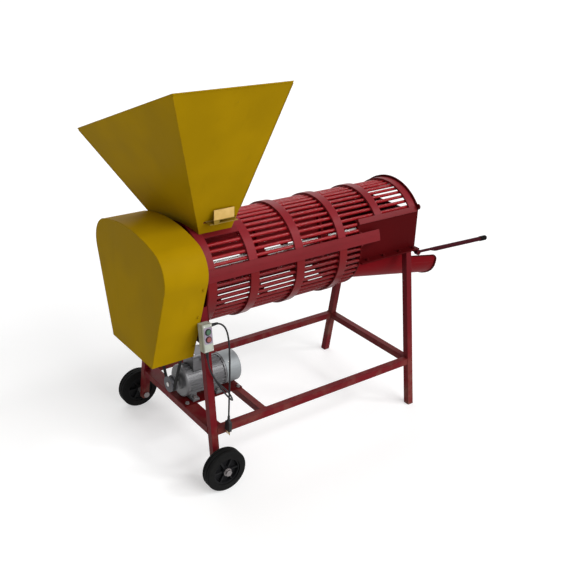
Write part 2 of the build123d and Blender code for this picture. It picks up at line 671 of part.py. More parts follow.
def make_rotor():
    shaft_start = BELT_X - PULLEY_HUB_LENGTH / 2 - SHAFT_OVERHANG
    shaft_end = DISCHARGE_X + PLATE + BEARING_DEPTH + SHAFT_OVERHANG
    save("rotor_shaft", rod_x(SHAFT_RADIUS, shaft_start, shaft_end, 0, AXIS_Z))
    start = drum_start + BEATER_END_GAP
    end = BULKHEAD_X - BEATER_END_GAP
    step = (end - start - SPIDER_LENGTH) / (SPIDERS - 1)
    angles = [BEATER_ANGLE + turn * 360 / BEATERS for turn in range(BEATERS)]
    beater = block(start, end, -BEATER_OUTER, -BEATER_INNER, -BEATER_THICK / 2, BEATER_THICK / 2)
    notch = SPIDER_ARM / 2 + SEAT
    spiders = []
    for number in range(SPIDERS):
        place = start + SPIDER_LENGTH / 2 + step * number
        spider = rod_x(SPIDER_HUB, place - SPIDER_LENGTH / 2, place + SPIDER_LENGTH / 2, 0, AXIS_Z)
        arm = block(place - SPIDER_ARM / 2, place + SPIDER_ARM / 2, -SPIDER_REACH, 0,
                    -SPIDER_ARM_WIDTH / 2, SPIDER_ARM_WIDTH / 2)
        for angle in angles:
            spider = spider + spoke(arm, angle)
        spiders.append(spider - rod_x(SHAFT_RADIUS + SEAT, start, end, 0, AXIS_Z))
        slot = block(place - notch, place + notch, -SPIDER_REACH - SEAT, 0, -BEATER_THICK, BEATER_THICK)
        beater = beater - slot
    save("rotor_spiders", *spiders)
    save("beater_bars", *[spoke(beater, angle) for angle in angles])
    pegs = []
    count = int((end - start - PEG_PITCH) / PEG_PITCH) + 1
    for row, angle in enumerate(angles):
        for number in range(count):
            place = start + PEG_PITCH / 2 + PEG_PITCH * (number + row / BEATERS)
            peg = rod_y(PEG_RADIUS, -PEG_TIP, -BEATER_OUTER, place, 0)
            pegs.append(spoke(peg, angle))
    save("beater_pegs", *pegs)


def groove_half(depth):
    """Half the width of a belt groove at a depth below the rim."""
    mouth = BELT_TOP / 2 + PLAY
    return mouth - (BELT_TOP - BELT_ROOT) / 2 * depth / (BELT_DEPTH + PLAY)


def groove(radius):
    """Belt groove of a pulley, drawn as distance along X and radius."""
    depth = BELT_DEPTH + PLAY
    mouth = groove_half(0)
    root = groove_half(depth)
    corners = [(-mouth, radius), (-root, radius - depth), (root, radius - depth), (mouth, radius)]
    return make_face(Polyline(corners, close=True))


def turned_x(profile, x, y, z):
    return Pos(x, y, z) * revolve(profile, Axis.X)


def make_rotor_pulley():
    rim_inner = LARGE_PULLEY_RADIUS - PULLEY_RIM
    rim = Pos(0, rim_inner + PULLEY_RIM / 2) * Rectangle(PULLEY_WIDTH, PULLEY_RIM)
    rim = rim - groove(LARGE_PULLEY_RADIUS)
    bore = SHAFT_RADIUS + RUNNING_FIT
    hub = Pos(0, (bore + PULLEY_HUB) / 2) * Rectangle(PULLEY_HUB_LENGTH, PULLEY_HUB - bore)
    pulley = revolve(rim, Axis.X) + revolve(hub, Axis.X)
    arm_start = PULLEY_HUB - PULLEY_ARM_SINK
    arm_length = rim_inner + PULLEY_ARM_SINK - arm_start
    arm = Box(PULLEY_ARM_THICK, PULLEY_ARM_WIDTH, arm_length, align=(Align.CENTER, Align.CENTER, Align.MIN))
    arm = Pos(0, 0, arm_start) * arm
    for turn in range(PULLEY_ARMS):
        pulley = pulley + Rot(turn * 360 / PULLEY_ARMS, 0, 0) * arm
    save("rotor_pulley", Pos(BELT_X, 0, AXIS_Z) * pulley)


def tangent_points(large, small):
    """Points where a belt of two radii leaves the rotor pulley and the motor pulley, on both sides."""
    top = Vector(0, AXIS_Z)
    low = Vector(MOTOR_Y, motor_z)
    line = top - low
    along = line.normalized()
    side = Vector(-along.Y, along.X)
    sine = (large - small) / line.length
    cosine = sqrt(1 - sine**2)
    points = []
    for sign in (1, -1):
        normal = side * (sign * cosine) - along * sine
        points.append((top + normal * large, low + normal * small))
    return points, top + along * large, low - along * small


def belt_outline(large, small):
    (first, second), crown, base = tangent_points(large, small)
    edges = [ThreePointArc(first[0], crown, second[0]), Line(second[0], second[1])]
    edges += [ThreePointArc(second[1], base, first[1]), Line(first[1], first[0])]
    return make_face(edges)


def belt_layer(depth):
    """One of the two layers of the belt, as wide as its groove lets it be."""
    below = depth + BELT_DEPTH / 2
    half = groove_half(below) - PLAY
    outer = belt_outline(LARGE_PULLEY_RADIUS - depth, MOTOR_PULLEY_RADIUS - depth)
    inner = belt_outline(LARGE_PULLEY_RADIUS - below, MOTOR_PULLEY_RADIUS - below)
    return across(outer - inner, BELT_X - half, BELT_X + half)


def make_belt():
    save("drive_belt", belt_layer(0) + belt_layer(BELT_DEPTH / 2))


def guard_outline(inset, bottom):
    """Section of the belt guard: straight flared sides, round shoulders, crowned top."""
    foot_z = AXIS_Z - GUARD_DROP
    top_z = AXIS_Z + GUARD_RISE - inset
    crown = GUARD_CROWN - inset
    centre_z = top_z - crown
    foot = GUARD_FOOT - inset * sqrt(1 + GUARD_FLARE**2)
    start = foot + GUARD_FLARE * (centre_z - foot_z)
    rise = sqrt((1 + GUARD_FLARE**2) * crown**2 - start**2) - GUARD_FLARE * start
    shoulder_z = centre_z + rise / (1 + GUARD_FLARE**2)
    shoulder = foot + GUARD_FLARE * (shoulder_z - foot_z)
    low = foot + GUARD_FLARE * (bottom - foot_z)
    edges = [Line((shoulder, shoulder_z), (low, bottom)), Line((low, bottom), (-low, bottom))]
    edges += [Line((-low, bottom), (-shoulder, shoulder_z))]
    edges += [ThreePointArc((-shoulder, shoulder_z), (0, top_z), (shoulder, shoulder_z))]
    face = make_face(edges)
    return fillet(face.vertices().group_by(Axis.Y)[-1], GUARD_CORNER - inset)


def make_guard():
    foot_z = AXIS_Z - GUARD_DROP
    shell = across(guard_outline(0, foot_z), GUARD_FRONT, GUARD_BACK)
    shell = shell - across(guard_outline(SHEET, foot_z - SHEET), GUARD_FRONT + SHEET, GUARD_BACK)
    save("belt_guard", shell)
    back = guard_outline(SHEET + SEAT, foot_z) - Pos(0, AXIS_Z) * Circle(BEARING_BOSS + GUARD_SPACER)
    back = across(back, GUARD_BACK - SHEET, GUARD_BACK)
    angles = [GUARD_SPACER_ANGLE, -GUARD_SPACER_ANGLE]
    angles += [180 - angle for angle in angles]
    for angle in angles:
        y, z = polar(GUARD_SPACER_CIRCLE, angle)
        back = back + rod_x(GUARD_SPACER, GUARD_BACK, drive_plate_x, y, z)
    save("guard_back_plate", back)


def make_motor():
    shield_x = MOTOR_FRONT
    body_x = shield_x + SHIELD_THICK
    body_end = body_x + MOTOR_BODY_LENGTH
    fins = Circle(MOTOR_RADIUS)
    for turn in range(MOTOR_FINS):
        fin = Pos(MOTOR_RADIUS, 0) * Rectangle(2 * MOTOR_FIN, MOTOR_FIN_THICK)
        fins = fins + Rot(0, 0, turn * 360 / MOTOR_FINS) * fin
    fins = Pos(MOTOR_Y, motor_z) * (fins - Circle(MOTOR_BORE))
    body = across(fins, body_x, body_end - SHIELD_THICK)
    rear = rod_x(FAN_COVER_RADIUS - SHEET, body_end - SHIELD_THICK, body_end, MOTOR_Y, motor_z)
    bore = MOTOR_SHAFT_RADIUS + RUNNING_FIT
    body = body + rear - rod_x(bore, body_x, body_end + SHIELD_THICK, MOTOR_Y, motor_z)
    foot_y = MOTOR_Y - MOTOR_FOOT_SPAN / 2
    rear_foot = body_end - SHIELD_THICK - MOTOR_FOOT_INSET - MOTOR_FOOT_WIDTH
    for place in (body_x + MOTOR_FOOT_INSET, rear_foot):
        foot = block(place, place + MOTOR_FOOT_WIDTH, foot_y, foot_y + MOTOR_FOOT_SPAN,
                     motor_plate_top, motor_plate_top + MOTOR_FOOT_HEIGHT)
        riser = block(place, place + MOTOR_FOOT_WIDTH, MOTOR_Y - MOTOR_BORE, MOTOR_Y + MOTOR_BORE,
                      motor_plate_top, motor_z - MOTOR_BORE - MOTOR_FIN)
        body = body + foot + riser
    pedestal_x = body_x + MOTOR_FOOT_WIDTH
    pedestal_end = pedestal_x + TERMINAL_LENGTH
    box_y0 = MOTOR_Y - TERMINAL_WIDTH / 2
    box_y1 = MOTOR_Y + TERMINAL_WIDTH / 2
    box_z = motor_z + FAN_COVER_RADIUS + MOTOR_FIN
    body = body + block(pedestal_x, pedestal_end, box_y0, box_y1, motor_z + MOTOR_BORE + MOTOR_FIN, box_z)
    save("motor_body", body)
    box = block(pedestal_x, pedestal_end, box_y0, box_y1, box_z, box_z + TERMINAL_HEIGHT)
    box = chamfer(box.edges().group_by(Axis.Z)[-1], SWITCH_CORNER)
    gland_x = (pedestal_x + pedestal_end) / 2
    gland_z = box_z + TERMINAL_HEIGHT / 2
    save("terminal_box", box + rod_y(GLAND_RADIUS, box_y0 - GLAND_LENGTH, box_y0, gland_x, gland_z))
    shield = Pos(0, (FAN_COVER_RADIUS + bore) / 2) * Rectangle(SHIELD_THICK, FAN_COVER_RADIUS - bore)
    shield = fillet(shield.vertices().group_by(Axis.Y)[-1].sort_by(Axis.X)[0], SHIELD_THICK / 2)
    boss_x = -SHIELD_THICK / 2 - SHIELD_BOSS / 2
    boss = Pos(boss_x, (PULLEY_HUB + bore) / 2) * Rectangle(SHIELD_BOSS, PULLEY_HUB - bore)
    save("motor_front_shield", turned_x(shield + boss, shield_x + SHIELD_THICK / 2, MOTOR_Y, motor_z))
    cover_end = body_end + FAN_COVER_LENGTH
    cover = rod_x(FAN_COVER_RADIUS, body_end - SHIELD_THICK / 2, cover_end, MOTOR_Y, motor_z)
    cover = fillet(cover.edges().filter_by(GeomType.CIRCLE).sort_by(Axis.X)[-1], SHIELD_THICK / 2)
    cover = cover - rod_x(FAN_COVER_RADIUS - SHEET + SEAT, 0, cover_end - SHEET, MOTOR_Y, motor_z)
    for turn in range(FAN_SLOTS):
        slot = Pos(cover_end, 0, FAN_RADIUS / 2) * Box(2 * SHIELD_THICK, BAR_RADIUS, FAN_RADIUS / 2)
        cover = cover - Pos(0, MOTOR_Y, motor_z) * Rot(turn * 360 / FAN_SLOTS, 0, 0) * slot
    save("motor_fan_cover", cover)
    shaft_start = BELT_X - PULLEY_HUB_LENGTH / 2
    fan_x = body_end + FAN_COVER_LENGTH / 2 - FAN_WIDTH / 2
    shaft = rod_x(MOTOR_SHAFT_RADIUS, shaft_start, fan_x + FAN_WIDTH, MOTOR_Y, motor_z)
    core_end = body_end - SHIELD_THICK - MOTOR_FOOT_WIDTH
    core = rod_x(MOTOR_BORE - ARMATURE_GAP, body_x + MOTOR_FOOT_WIDTH, core_end, MOTOR_Y, motor_z)
    save("armature_shaft", shaft + core)
    fan = rod_x(2 * MOTOR_SHAFT_RADIUS, fan_x, fan_x + FAN_WIDTH, MOTOR_Y, motor_z)
    for turn in range(FAN_BLADES):
        blade = Pos(fan_x + FAN_WIDTH / 2, 0, FAN_RADIUS / 2) * Box(FAN_WIDTH, SHEET, FAN_RADIUS)
        fan = fan + Pos(0, MOTOR_Y, motor_z) * Rot(turn * 360 / FAN_BLADES, 0, 0) * blade
    fan_end = fan_x + FAN_WIDTH
    save("motor_fan", fan - rod_x(MOTOR_SHAFT_RADIUS + SEAT, body_end, fan_end + SHEET, MOTOR_Y, motor_z))
    pulley = Pos(0, (bore + MOTOR_PULLEY_RADIUS) / 2) * Rectangle(PULLEY_WIDTH, MOTOR_PULLEY_RADIUS - bore)
    save("motor_pulley", turned_x(pulley - groove(MOTOR_PULLEY_RADIUS), BELT_X, MOTOR_Y, motor_z))


def hopper_row(height, inset):
    """Four corners of the hopper at a share of its rise, drawn in by a wall."""
    x0 = FEED_X0 + height * (RIM_X0 - FEED_X0) + inset
    x1 = FEED_X1 + height * (RIM_X1 - FEED_X1) - inset
    near_y = FEED_NEAR_Y + height * (RIM_NEAR_Y - FEED_NEAR_Y) + inset
    near_z = feed_near_z + height * HOPPER_RISE - inset * hopper_slope
    depth = FEED_DEPTH + height * (RIM_DEPTH - FEED_DEPTH) - 2 * inset
    far_y = near_y + depth
    far_z = near_z - depth * hopper_slope
    corners = [(x0, near_y, near_z), (x1, near_y, near_z), (x1, far_y, far_z), (x0, far_y, far_z)]
    return Wire.make_polygon(corners, close=True)


def hopper_body(low, high, inset):
    return Solid.make_loft([hopper_row(low, inset), hopper_row(high, inset)], ruled=True)


def make_hopper():
    gate_low = throat_z + PLATE / 2
    gate_high = gate_low + FEED_GATE
    guide_high = gate_high + PLAY + GUIDE_TOP
    plate_x0 = THROAT_X0 - THROAT_LAP
    plate_x1 = THROAT_X1 + THROAT_LAP
    guide_x0 = plate_x0 - GUIDE_WIDTH
    guide_x1 = plate_x1 + GUIDE_WIDTH
    inside = hopper_body(HOPPER_UNDER, HOPPER_OVER, SHEET)
    drum = rod_x(hoop_outer + SEAT, -DISCHARGE_X, DISCHARGE_X, 0, AXIS_Z)
    slot = block(guide_x0 - PLAY, guide_x1 + PLAY, RIM_NEAR_Y, THROAT_Y0, throat_z, guide_high + PLAY)
    hopper = hopper_body(HOPPER_UNDER, 1, 0) - inside - drum - slot
    save("hopper", hopper.solids().sort_by(SortBy.VOLUME)[-1])
    room = hopper_body(HOPPER_UNDER, HOPPER_OVER, SHEET + SEAT)
    wall_y = FEED_NEAR_Y + (throat_z - feed_near_z) / HOPPER_RISE * (RIM_NEAR_Y - FEED_NEAR_Y)
    throat = block(RIM_X0, RIM_X1, wall_y, RIM_DEPTH, throat_z - PLATE / 2, gate_low - PLAY) & room
    throat = throat - block(THROAT_X0, THROAT_X1, THROAT_Y0, THROAT_Y1, 0, 2 * AXIS_Z)
    guide_end = THROAT_Y1 + THROAT_LAP
    sides = [(guide_x0, plate_x0 - PLAY, GUIDE_LIP), (guide_x1, plate_x1 + PLAY, -GUIDE_LIP)]
    for outside, edge, lip in sides:
        corners = [(outside, gate_low - PLAY), (edge, gate_low - PLAY), (edge, gate_high + PLAY)]
        corners += [(edge + lip, gate_high + PLAY), (edge + lip, guide_high), (outside, guide_high)]
        face = Plane.XZ.offset(-guide_end) * make_face(Polyline(corners, close=True))
        throat = throat + extrude(face, guide_end - THROAT_Y0, dir=(0, -1, 0))
    save("throat_plate", throat)
    handle_y = wall_y - FEED_GATE_REACH
    gate = block(plate_x0, plate_x1, handle_y, guide_end, gate_low, gate_high)
    pull_y = handle_y - FEED_GATE
    tab_end = HANDLE_X0 + HANDLE_TAB
    grip_low = gate_low + HANDLE_TAB_RISE
    gate = gate + block(HANDLE_X0, tab_end, pull_y, handle_y, gate_low, grip_low)
    gate = gate + block(HANDLE_X0, HANDLE_X1, pull_y, handle_y, grip_low, grip_low + HANDLE_HEIGHT)
    save("feed_gate", gate)
    frame_end = FIRST_HOOP_X - HOOP_WIDTH / 2
    frame_start = drum_start + HOOP_WIDTH
    frame = sector(hoop_inner, hoop_outer, FRAME_ANGLE_NEAR, FRAME_ANGLE_FAR, frame_start, frame_end)
    save("throat_frame", frame - hopper_body(HOPPER_UNDER, 1, SHEET))


def on_switch(shape):
    """Place a piece drawn about the switch box's middle on the leaning near wheel leg."""
    back = TUBE / 2 * cos(radians(lean)) + SEAT + SWITCH_DEPTH / 2
    place = Pos(WHEEL_LEG_X + SWITCH_SHIFT, -leg_y(SWITCH_Z), SWITCH_Z)
    return place * Rot(-lean, 0, 0) * Pos(0, -back, 0) * shape


def gland():
    """Cable gland standing on a face, tapered to the lead."""
    return Cone(GLAND_RADIUS, GLAND_TIP, GLAND_LENGTH, align=(Align.CENTER, Align.CENTER, Align.MIN))


def gland_places():
    side = Pos(SWITCH_WIDTH / 2, 0, GLAND_RISE) * Rot(0, 90, 0)
    bottom = Pos(0, 0, -SWITCH_HEIGHT / 2) * Rot(180, 0, 0)
    return on_switch(side), on_switch(bottom)


def make_switch():
    front = -SWITCH_DEPTH / 2
    box = Box(SWITCH_WIDTH, SWITCH_DEPTH, SWITCH_HEIGHT)
    edges = box.edges().filter_by(Axis.Z) + box.edges().group_by(Axis.Y)[0].filter_by(Axis.X)
    box = fillet(edges, SWITCH_CORNER)
    walls = 2 * SWITCH_WALL
    box = box - Box(SWITCH_WIDTH - walls, SWITCH_DEPTH - walls, SWITCH_HEIGHT - walls)
    for node, z in (("start_button", BUTTON_RISE), ("stop_button", BUTTON_RISE - BUTTON_SPACING)):
        box = box - rod_y(BUTTON_RADIUS + BUTTON_CLEARANCE, front - SWITCH_WALL, front + walls, 0, z)
        button = rod_y(BUTTON_RADIUS, front - BUTTON_PROUD, front + BUTTON_INSIDE, 0, z)
        button = fillet(button.edges().filter_by(GeomType.CIRCLE).sort_by(Axis.Y)[0], BUTTON_FLANGE)
        flange_y = front + SWITCH_WALL + BUTTON_CLEARANCE
        collar = rod_y(BUTTON_RADIUS + BUTTON_FLANGE, flange_y, flange_y + BUTTON_FLANGE, 0, z)
        save(node, on_switch(button + collar))
    save("switch_box", on_switch(box))
    save("cable_glands", *[place * gland() for place in gland_places()])


def lead(points):
    """A lead of straight runs joined by the largest even arcs, as a tube."""
    radii = []
    for before, corner, after in zip(points, points[1:], points[2:]):
        shorter = min((corner - before).length, (after - corner).length)
        turn = (corner - before).get_angle(after - corner)
        radii.append(ARC_SHARE * shorter / tan(radians(turn / 2)))
    route = FilletPolyline(*points, radius=radii)
    section = Plane(points[0], z_dir=points[1] - points[0]) * Circle(LEAD_DIAMETER / 2)
    tube = sweep(section, path=route)
    share = tube.volume / (route.length * Circle(LEAD_DIAMETER / 2).area)
    print(f"lead {route.length:.1f} mm, least radius {min(radii):.1f} mm, volume share {share:.4f}")
    return tube


def make_leads():
    exits = [(place * Pos(0, 0, GLAND_LENGTH)).position for place in gland_places()]
    down = Vector(0, -sin(radians(lean)), -cos(radians(lean)))
    mains = [exits[0], exits[0] + Vector(LEAD_START, 0, 0)]
    mains += [exits[0] + Vector(*step) for step in MAINS_ROUTE]
    save("mains_lead", lead(mains))
    nose = Pos(0, 0, -PLUG_NOSE) * Cone(PLUG_THICK / 2, LEAD_DIAMETER / 2 + RUNNING_FIT, PLUG_NOSE,
                                        align=(Align.CENTER, Align.CENTER, Align.MIN))
    body = Box(PLUG_THICK, PLUG_WIDTH, PLUG_LENGTH, align=(Align.CENTER, Align.CENTER, Align.MAX))
    body = fillet(body.edges().filter_by(Axis.Z), PLUG_ROUND)
    plug = nose + Pos(0, 0, -PLUG_NOSE) * body
    for pin in (-1, 0, 1):
        stem = Cylinder(PIN_RADIUS, PIN_LENGTH, align=(Align.CENTER, Align.CENTER, Align.MAX))
        plug = plug + Pos(0, pin * PIN_SPACING, -PLUG_NOSE - PLUG_LENGTH) * stem
    save("mains_plug", Plane(mains[-1], x_dir=(1, 0, 0), z_dir=mains[-2] - mains[-1]) * plug)
    box_x = MOTOR_FRONT + SHIELD_THICK + MOTOR_FOOT_WIDTH + TERMINAL_LENGTH / 2
    box_y = MOTOR_Y - TERMINAL_WIDTH / 2 - GLAND_LENGTH
    box_z = motor_z + FAN_COVER_RADIUS + MOTOR_FIN + TERMINAL_HEIGHT / 2
    entry = Vector(box_x, box_y, box_z)
    motor = [exits[1], exits[1] + down * LEAD_START]
    motor += [exits[1] + Vector(*step) for step in MOTOR_ROUTE]
    motor += [entry + Vector(*step) for step in RISING_ROUTE]
    motor += [entry - Vector(0, LEAD_START, 0), entry]
    save("motor_lead", lead(motor))


make_frame()
make_wheels()
make_lower_drum()
make_split_rails()
make_cover()
make_drive_plate()
make_outlet()
make_chute()
make_gate()
make_bearings()
make_rotor()
make_rotor_pulley()
make_belt()
make_guard()
make_motor()
make_hopper()
make_switch()
make_leads()
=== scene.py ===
# %% [markdown]
# An almond huller is a bar drum on a wheeled frame, with a beater rotor inside, a tilted hopper above one
# end and an outlet chute at the other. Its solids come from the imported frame. They could be modelled again
# here, but then sizes and joints would drift apart, so the solids stay as they are and this lesson dresses
# them: camera and leads first, then light, paints and metals, then the small pieces that a workshop would
# add by hand.

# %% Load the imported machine
import bmesh
import bpy
from math import cos, pi, radians, sin, tan
from mathutils import Matrix, Vector


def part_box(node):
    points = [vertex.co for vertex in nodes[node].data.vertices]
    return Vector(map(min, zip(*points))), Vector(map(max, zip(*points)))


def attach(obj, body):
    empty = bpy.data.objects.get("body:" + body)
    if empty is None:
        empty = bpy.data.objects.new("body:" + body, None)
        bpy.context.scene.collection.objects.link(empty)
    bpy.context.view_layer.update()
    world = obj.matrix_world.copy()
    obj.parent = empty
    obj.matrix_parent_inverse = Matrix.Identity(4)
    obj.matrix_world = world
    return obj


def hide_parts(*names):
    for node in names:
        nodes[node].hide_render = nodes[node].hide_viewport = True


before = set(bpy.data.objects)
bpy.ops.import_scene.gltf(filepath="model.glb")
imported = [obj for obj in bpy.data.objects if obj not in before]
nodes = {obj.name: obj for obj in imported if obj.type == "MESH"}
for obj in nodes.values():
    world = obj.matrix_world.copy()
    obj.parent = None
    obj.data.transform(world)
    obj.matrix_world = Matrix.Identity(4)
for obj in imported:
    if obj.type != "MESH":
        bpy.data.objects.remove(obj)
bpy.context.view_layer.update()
print("solids loaded:", len(nodes))

# %% [markdown]
# The camera stands off the switch-box side, a little behind the belt guard and above the drum. It could be
# aimed by eye, but a place, two axes and a focal length that were fitted to the frame's corners put the
# edges where the picture has them. The third axis is square to those two, and the three become the columns
# of a turn.

# %% Camera
CAMERA_PLACE = Vector((-2.2030, -2.7007, 2.1685))
CAMERA_RIGHT = Vector((0.80870, -0.58723, 0.03428))
CAMERA_UP = Vector((0.21628, 0.35104, 0.91104))
FOCAL_PIXELS = 840.77
PICTURE_PIXELS = 562
SENSOR = 36.0

lens = bpy.data.cameras.new("camera")
lens.sensor_width = SENSOR
lens.lens = SENSOR * FOCAL_PIXELS / PICTURE_PIXELS
camera = bpy.data.objects.new("camera", lens)
bpy.context.scene.collection.objects.link(camera)
turn = Matrix((CAMERA_RIGHT, CAMERA_UP, CAMERA_RIGHT.cross(CAMERA_UP))).transposed()
camera.matrix_world = Matrix.Translation(CAMERA_PLACE) @ turn.to_4x4()
bpy.context.scene.camera = camera
print("lens:", round(lens.lens, 2), "mm")

# %% [markdown]
# Two rubber leads hang free. The mains lead leaves the side of the switch box, falls outside the near rail
# and ends in its plug. The motor lead leaves the box below, sags, and climbs to the motor's terminal box.
# Their routes could be simulated as ropes, but a rope falls where it likes. Steps listed in millimetres
# from each end keep them where the picture has them.

# %% Lead routes
MIDDLE = 0.7143107
LEG_LEAN = 0.152806
LEAD_START = 0.018
STEPS_PER_METRE = 1000


def at(along, across, up):
    """A place measured along the machine from the wheel legs, in metres. The origin lies at the middle."""
    return Vector((along - MIDDLE, across, up))


def stepped(start, steps):
    """The places that lie some steps away from a start."""
    return [start + Vector(step) / STEPS_PER_METRE for step in steps]


mains_exit = at(0.029, -0.250370, 0.679826)
mains_steps = [
    (17, 0, 0), (32, -3, -3), (45, -8, -13), (53, -15, -29), (56, -24, -54), (54, -35, -87),
    (50, -45, -128), (46, -53, -176), (42, -60, -229), (38, -64, -286), (35, -67, -346), (33, -69, -405),
]
motor_exit = at(-0.006, -0.267417, 0.569131)
falling_steps = [
    (3, -8, -50), (11, -11, -80), (24, -12, -109), (43, -12, -137), (66, -8, -165), (91, -1, -195),
    (114, 10, -226), (133, 25, -257), (148, 43, -281),
]
motor_entry = at(0.092, -0.076, 0.420)
rising_steps = [
    (59, -129, -146), (60, -106, -147), (54, -86, -136), (44, -72, -117), (32, -65, -93),
    (20, -61, -69), (11, -54, -46), (5, -46, -25), (1, -34, -8), (0, -18, 0),
]
first_drop = Vector((0, -sin(LEG_LEAN), -cos(LEG_LEAN))) * LEAD_START
mains_route = [mains_exit] + stepped(mains_exit, mains_steps)
motor_route = [motor_exit, motor_exit + first_drop] + stepped(motor_exit, falling_steps)
motor_route += stepped(motor_entry, rising_steps) + [motor_entry]
print("lead points:", len(mains_route), len(motor_route))

# %% [markdown]
# A lead is one smooth line with a round section. It could be swept along straight runs and arcs, but that
# looks like bent wire. As control points of a curve of order three, the same points give a line that hangs
# without kinks, and each point carries the lead's radius.

# %% Leads
LEAD_RADIUS = 0.0035
SECTION_STEPS = 4
RUN_STEPS = 10


def lay_lead(name, route):
    """A round lead along control points, as one open curve."""
    curve = bpy.data.curves.new(name, "CURVE")
    curve.dimensions = "3D"
    curve.bevel_depth = 1.0
    curve.bevel_resolution = SECTION_STEPS
    curve.resolution_u = RUN_STEPS
    spline = curve.splines.new("NURBS")
    spline.points.add(len(route) - 1)
    for point, place in zip(spline.points, route):
        point.co = (*place, 1.0)
        point.radius = LEAD_RADIUS
    spline.order_u = 3
    spline.use_endpoint_u = True
    piece = bpy.data.objects.new(name, curve)
    bpy.context.scene.collection.objects.link(piece)
    return piece


mains_lead = lay_lead("mains_lead_soft", mains_route)
motor_lead = lay_lead("motor_lead_soft", motor_route)
for piece, node in ((mains_lead, "mains_lead"), (motor_lead, "motor_lead")):
    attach(piece, "frame")
    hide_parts(node)
    print("lead laid:", piece.name)

# %% [markdown]
# In a studio a large soft box stands on the near side and white walls fill the shadows. Area lamps would
# fall off over this length of machine, so sun lamps with wide discs give the even light, at a level where a
# colour renders about as it is written. A narrow disc towards the outlet draws a glint along each round
# bar, and a weak lamp lifts the far side.

# %% Light
LAMPS = {
    "key_lamp": {"way": (0.22, -0.80, 0.56), "strength": 2.10, "disc": radians(45)},
    "glint_lamp": {"way": (0.588, -0.45, 0.67), "strength": 0.55, "disc": radians(10)},
    "back_lamp": {"way": (0.20, 0.75, 0.63), "strength": 0.80, "disc": radians(60)},
}


def sun(name, way, strength, disc):
    """A far lamp with a disc of some width, seen in one direction from the machine."""
    lamp = bpy.data.lights.new(name, "SUN")
    lamp.energy = strength
    lamp.angle = disc
    holder = bpy.data.objects.new(name, lamp)
    holder.rotation_euler = (-Vector(way)).to_track_quat("-Z", "Y").to_euler()
    bpy.context.scene.collection.objects.link(holder)
    print(name, strength)


for name, settings in LAMPS.items():
    sun(name, **settings)
bpy.context.scene.view_settings.view_transform = "Standard"

# %% [markdown]
# A material is a tree of nodes. It could be wired socket by socket, but shader maths reads best as plain
# Python, and a recipe can then be used again. A Signal wraps one output socket, so that a sum or product of
# signals adds its Math node by itself. Wiring is one tree, whose add method makes any node, sets it and
# links it.

# %% Signals and wiring
class Signal:
    """One number or colour flowing through a tree."""

    def __init__(self, wiring, socket):
        self.wiring = wiring
        self.socket = socket

    def calc(self, operation, first, second):
        """The result of a Math node."""
        return self.wiring.add("ShaderNodeMath", {"operation": operation}, {0: first, 1: second})

    def most(self, other):
        """The larger of two signals."""
        return self.calc("MAXIMUM", self, other)

    def __add__(self, other):
        return self.calc("ADD", self, other)

    def __radd__(self, other):
        return self.calc("ADD", other, self)

    def __sub__(self, other):
        return self.calc("SUBTRACT", self, other)

    def __rsub__(self, other):
        return self.calc("SUBTRACT", other, self)

    def __mul__(self, other):
        return self.calc("MULTIPLY", self, other)

    def __rmul__(self, other):
        return self.calc("MULTIPLY", other, self)


class Wiring:
    """The node tree of a material or of the sky, built node by node."""

    def __init__(self, owner):
        owner.use_nodes = True
        self.tree = owner.node_tree
        self.tree.nodes.clear()

    def add(self, kind, settings=(), inputs=(), output=0):
        """Make a node, set it, wire its sockets and return one of its outputs."""
        node = self.tree.nodes.new(kind)
        for name, value in dict(settings).items():
            setattr(node, name, value)
        for name, value in dict(inputs).items():
            if isinstance(value, Signal):
                self.tree.links.new(value.socket, node.inputs[name])
            else:
                node.inputs[name].default_value = value
        if node.outputs:
            return Signal(self, node.outputs[output])

    def seen(self):
        """1 where the camera, a mirror or a glass looks, and 0 for light that only falls on things."""
        kinds = ("Camera", "Glossy", "Transmission")
        rays = [self.add("ShaderNodeLightPath", output=f"Is {kind} Ray") for kind in kinds]
        return rays[0].most(rays[1]).most(rays[2])


print("classes made:", Signal.__name__, Wiring.__name__)

# %% [markdown]
# Every finish of the machine starts from the same few patterns: noise, a smooth step, a blend of two
# colours and a bump. They could come from image textures, but noise on the piece's own coordinates needs no
# unwrapping and stays sharp close up. Finish is the wiring of one material with those patterns as short
# methods.

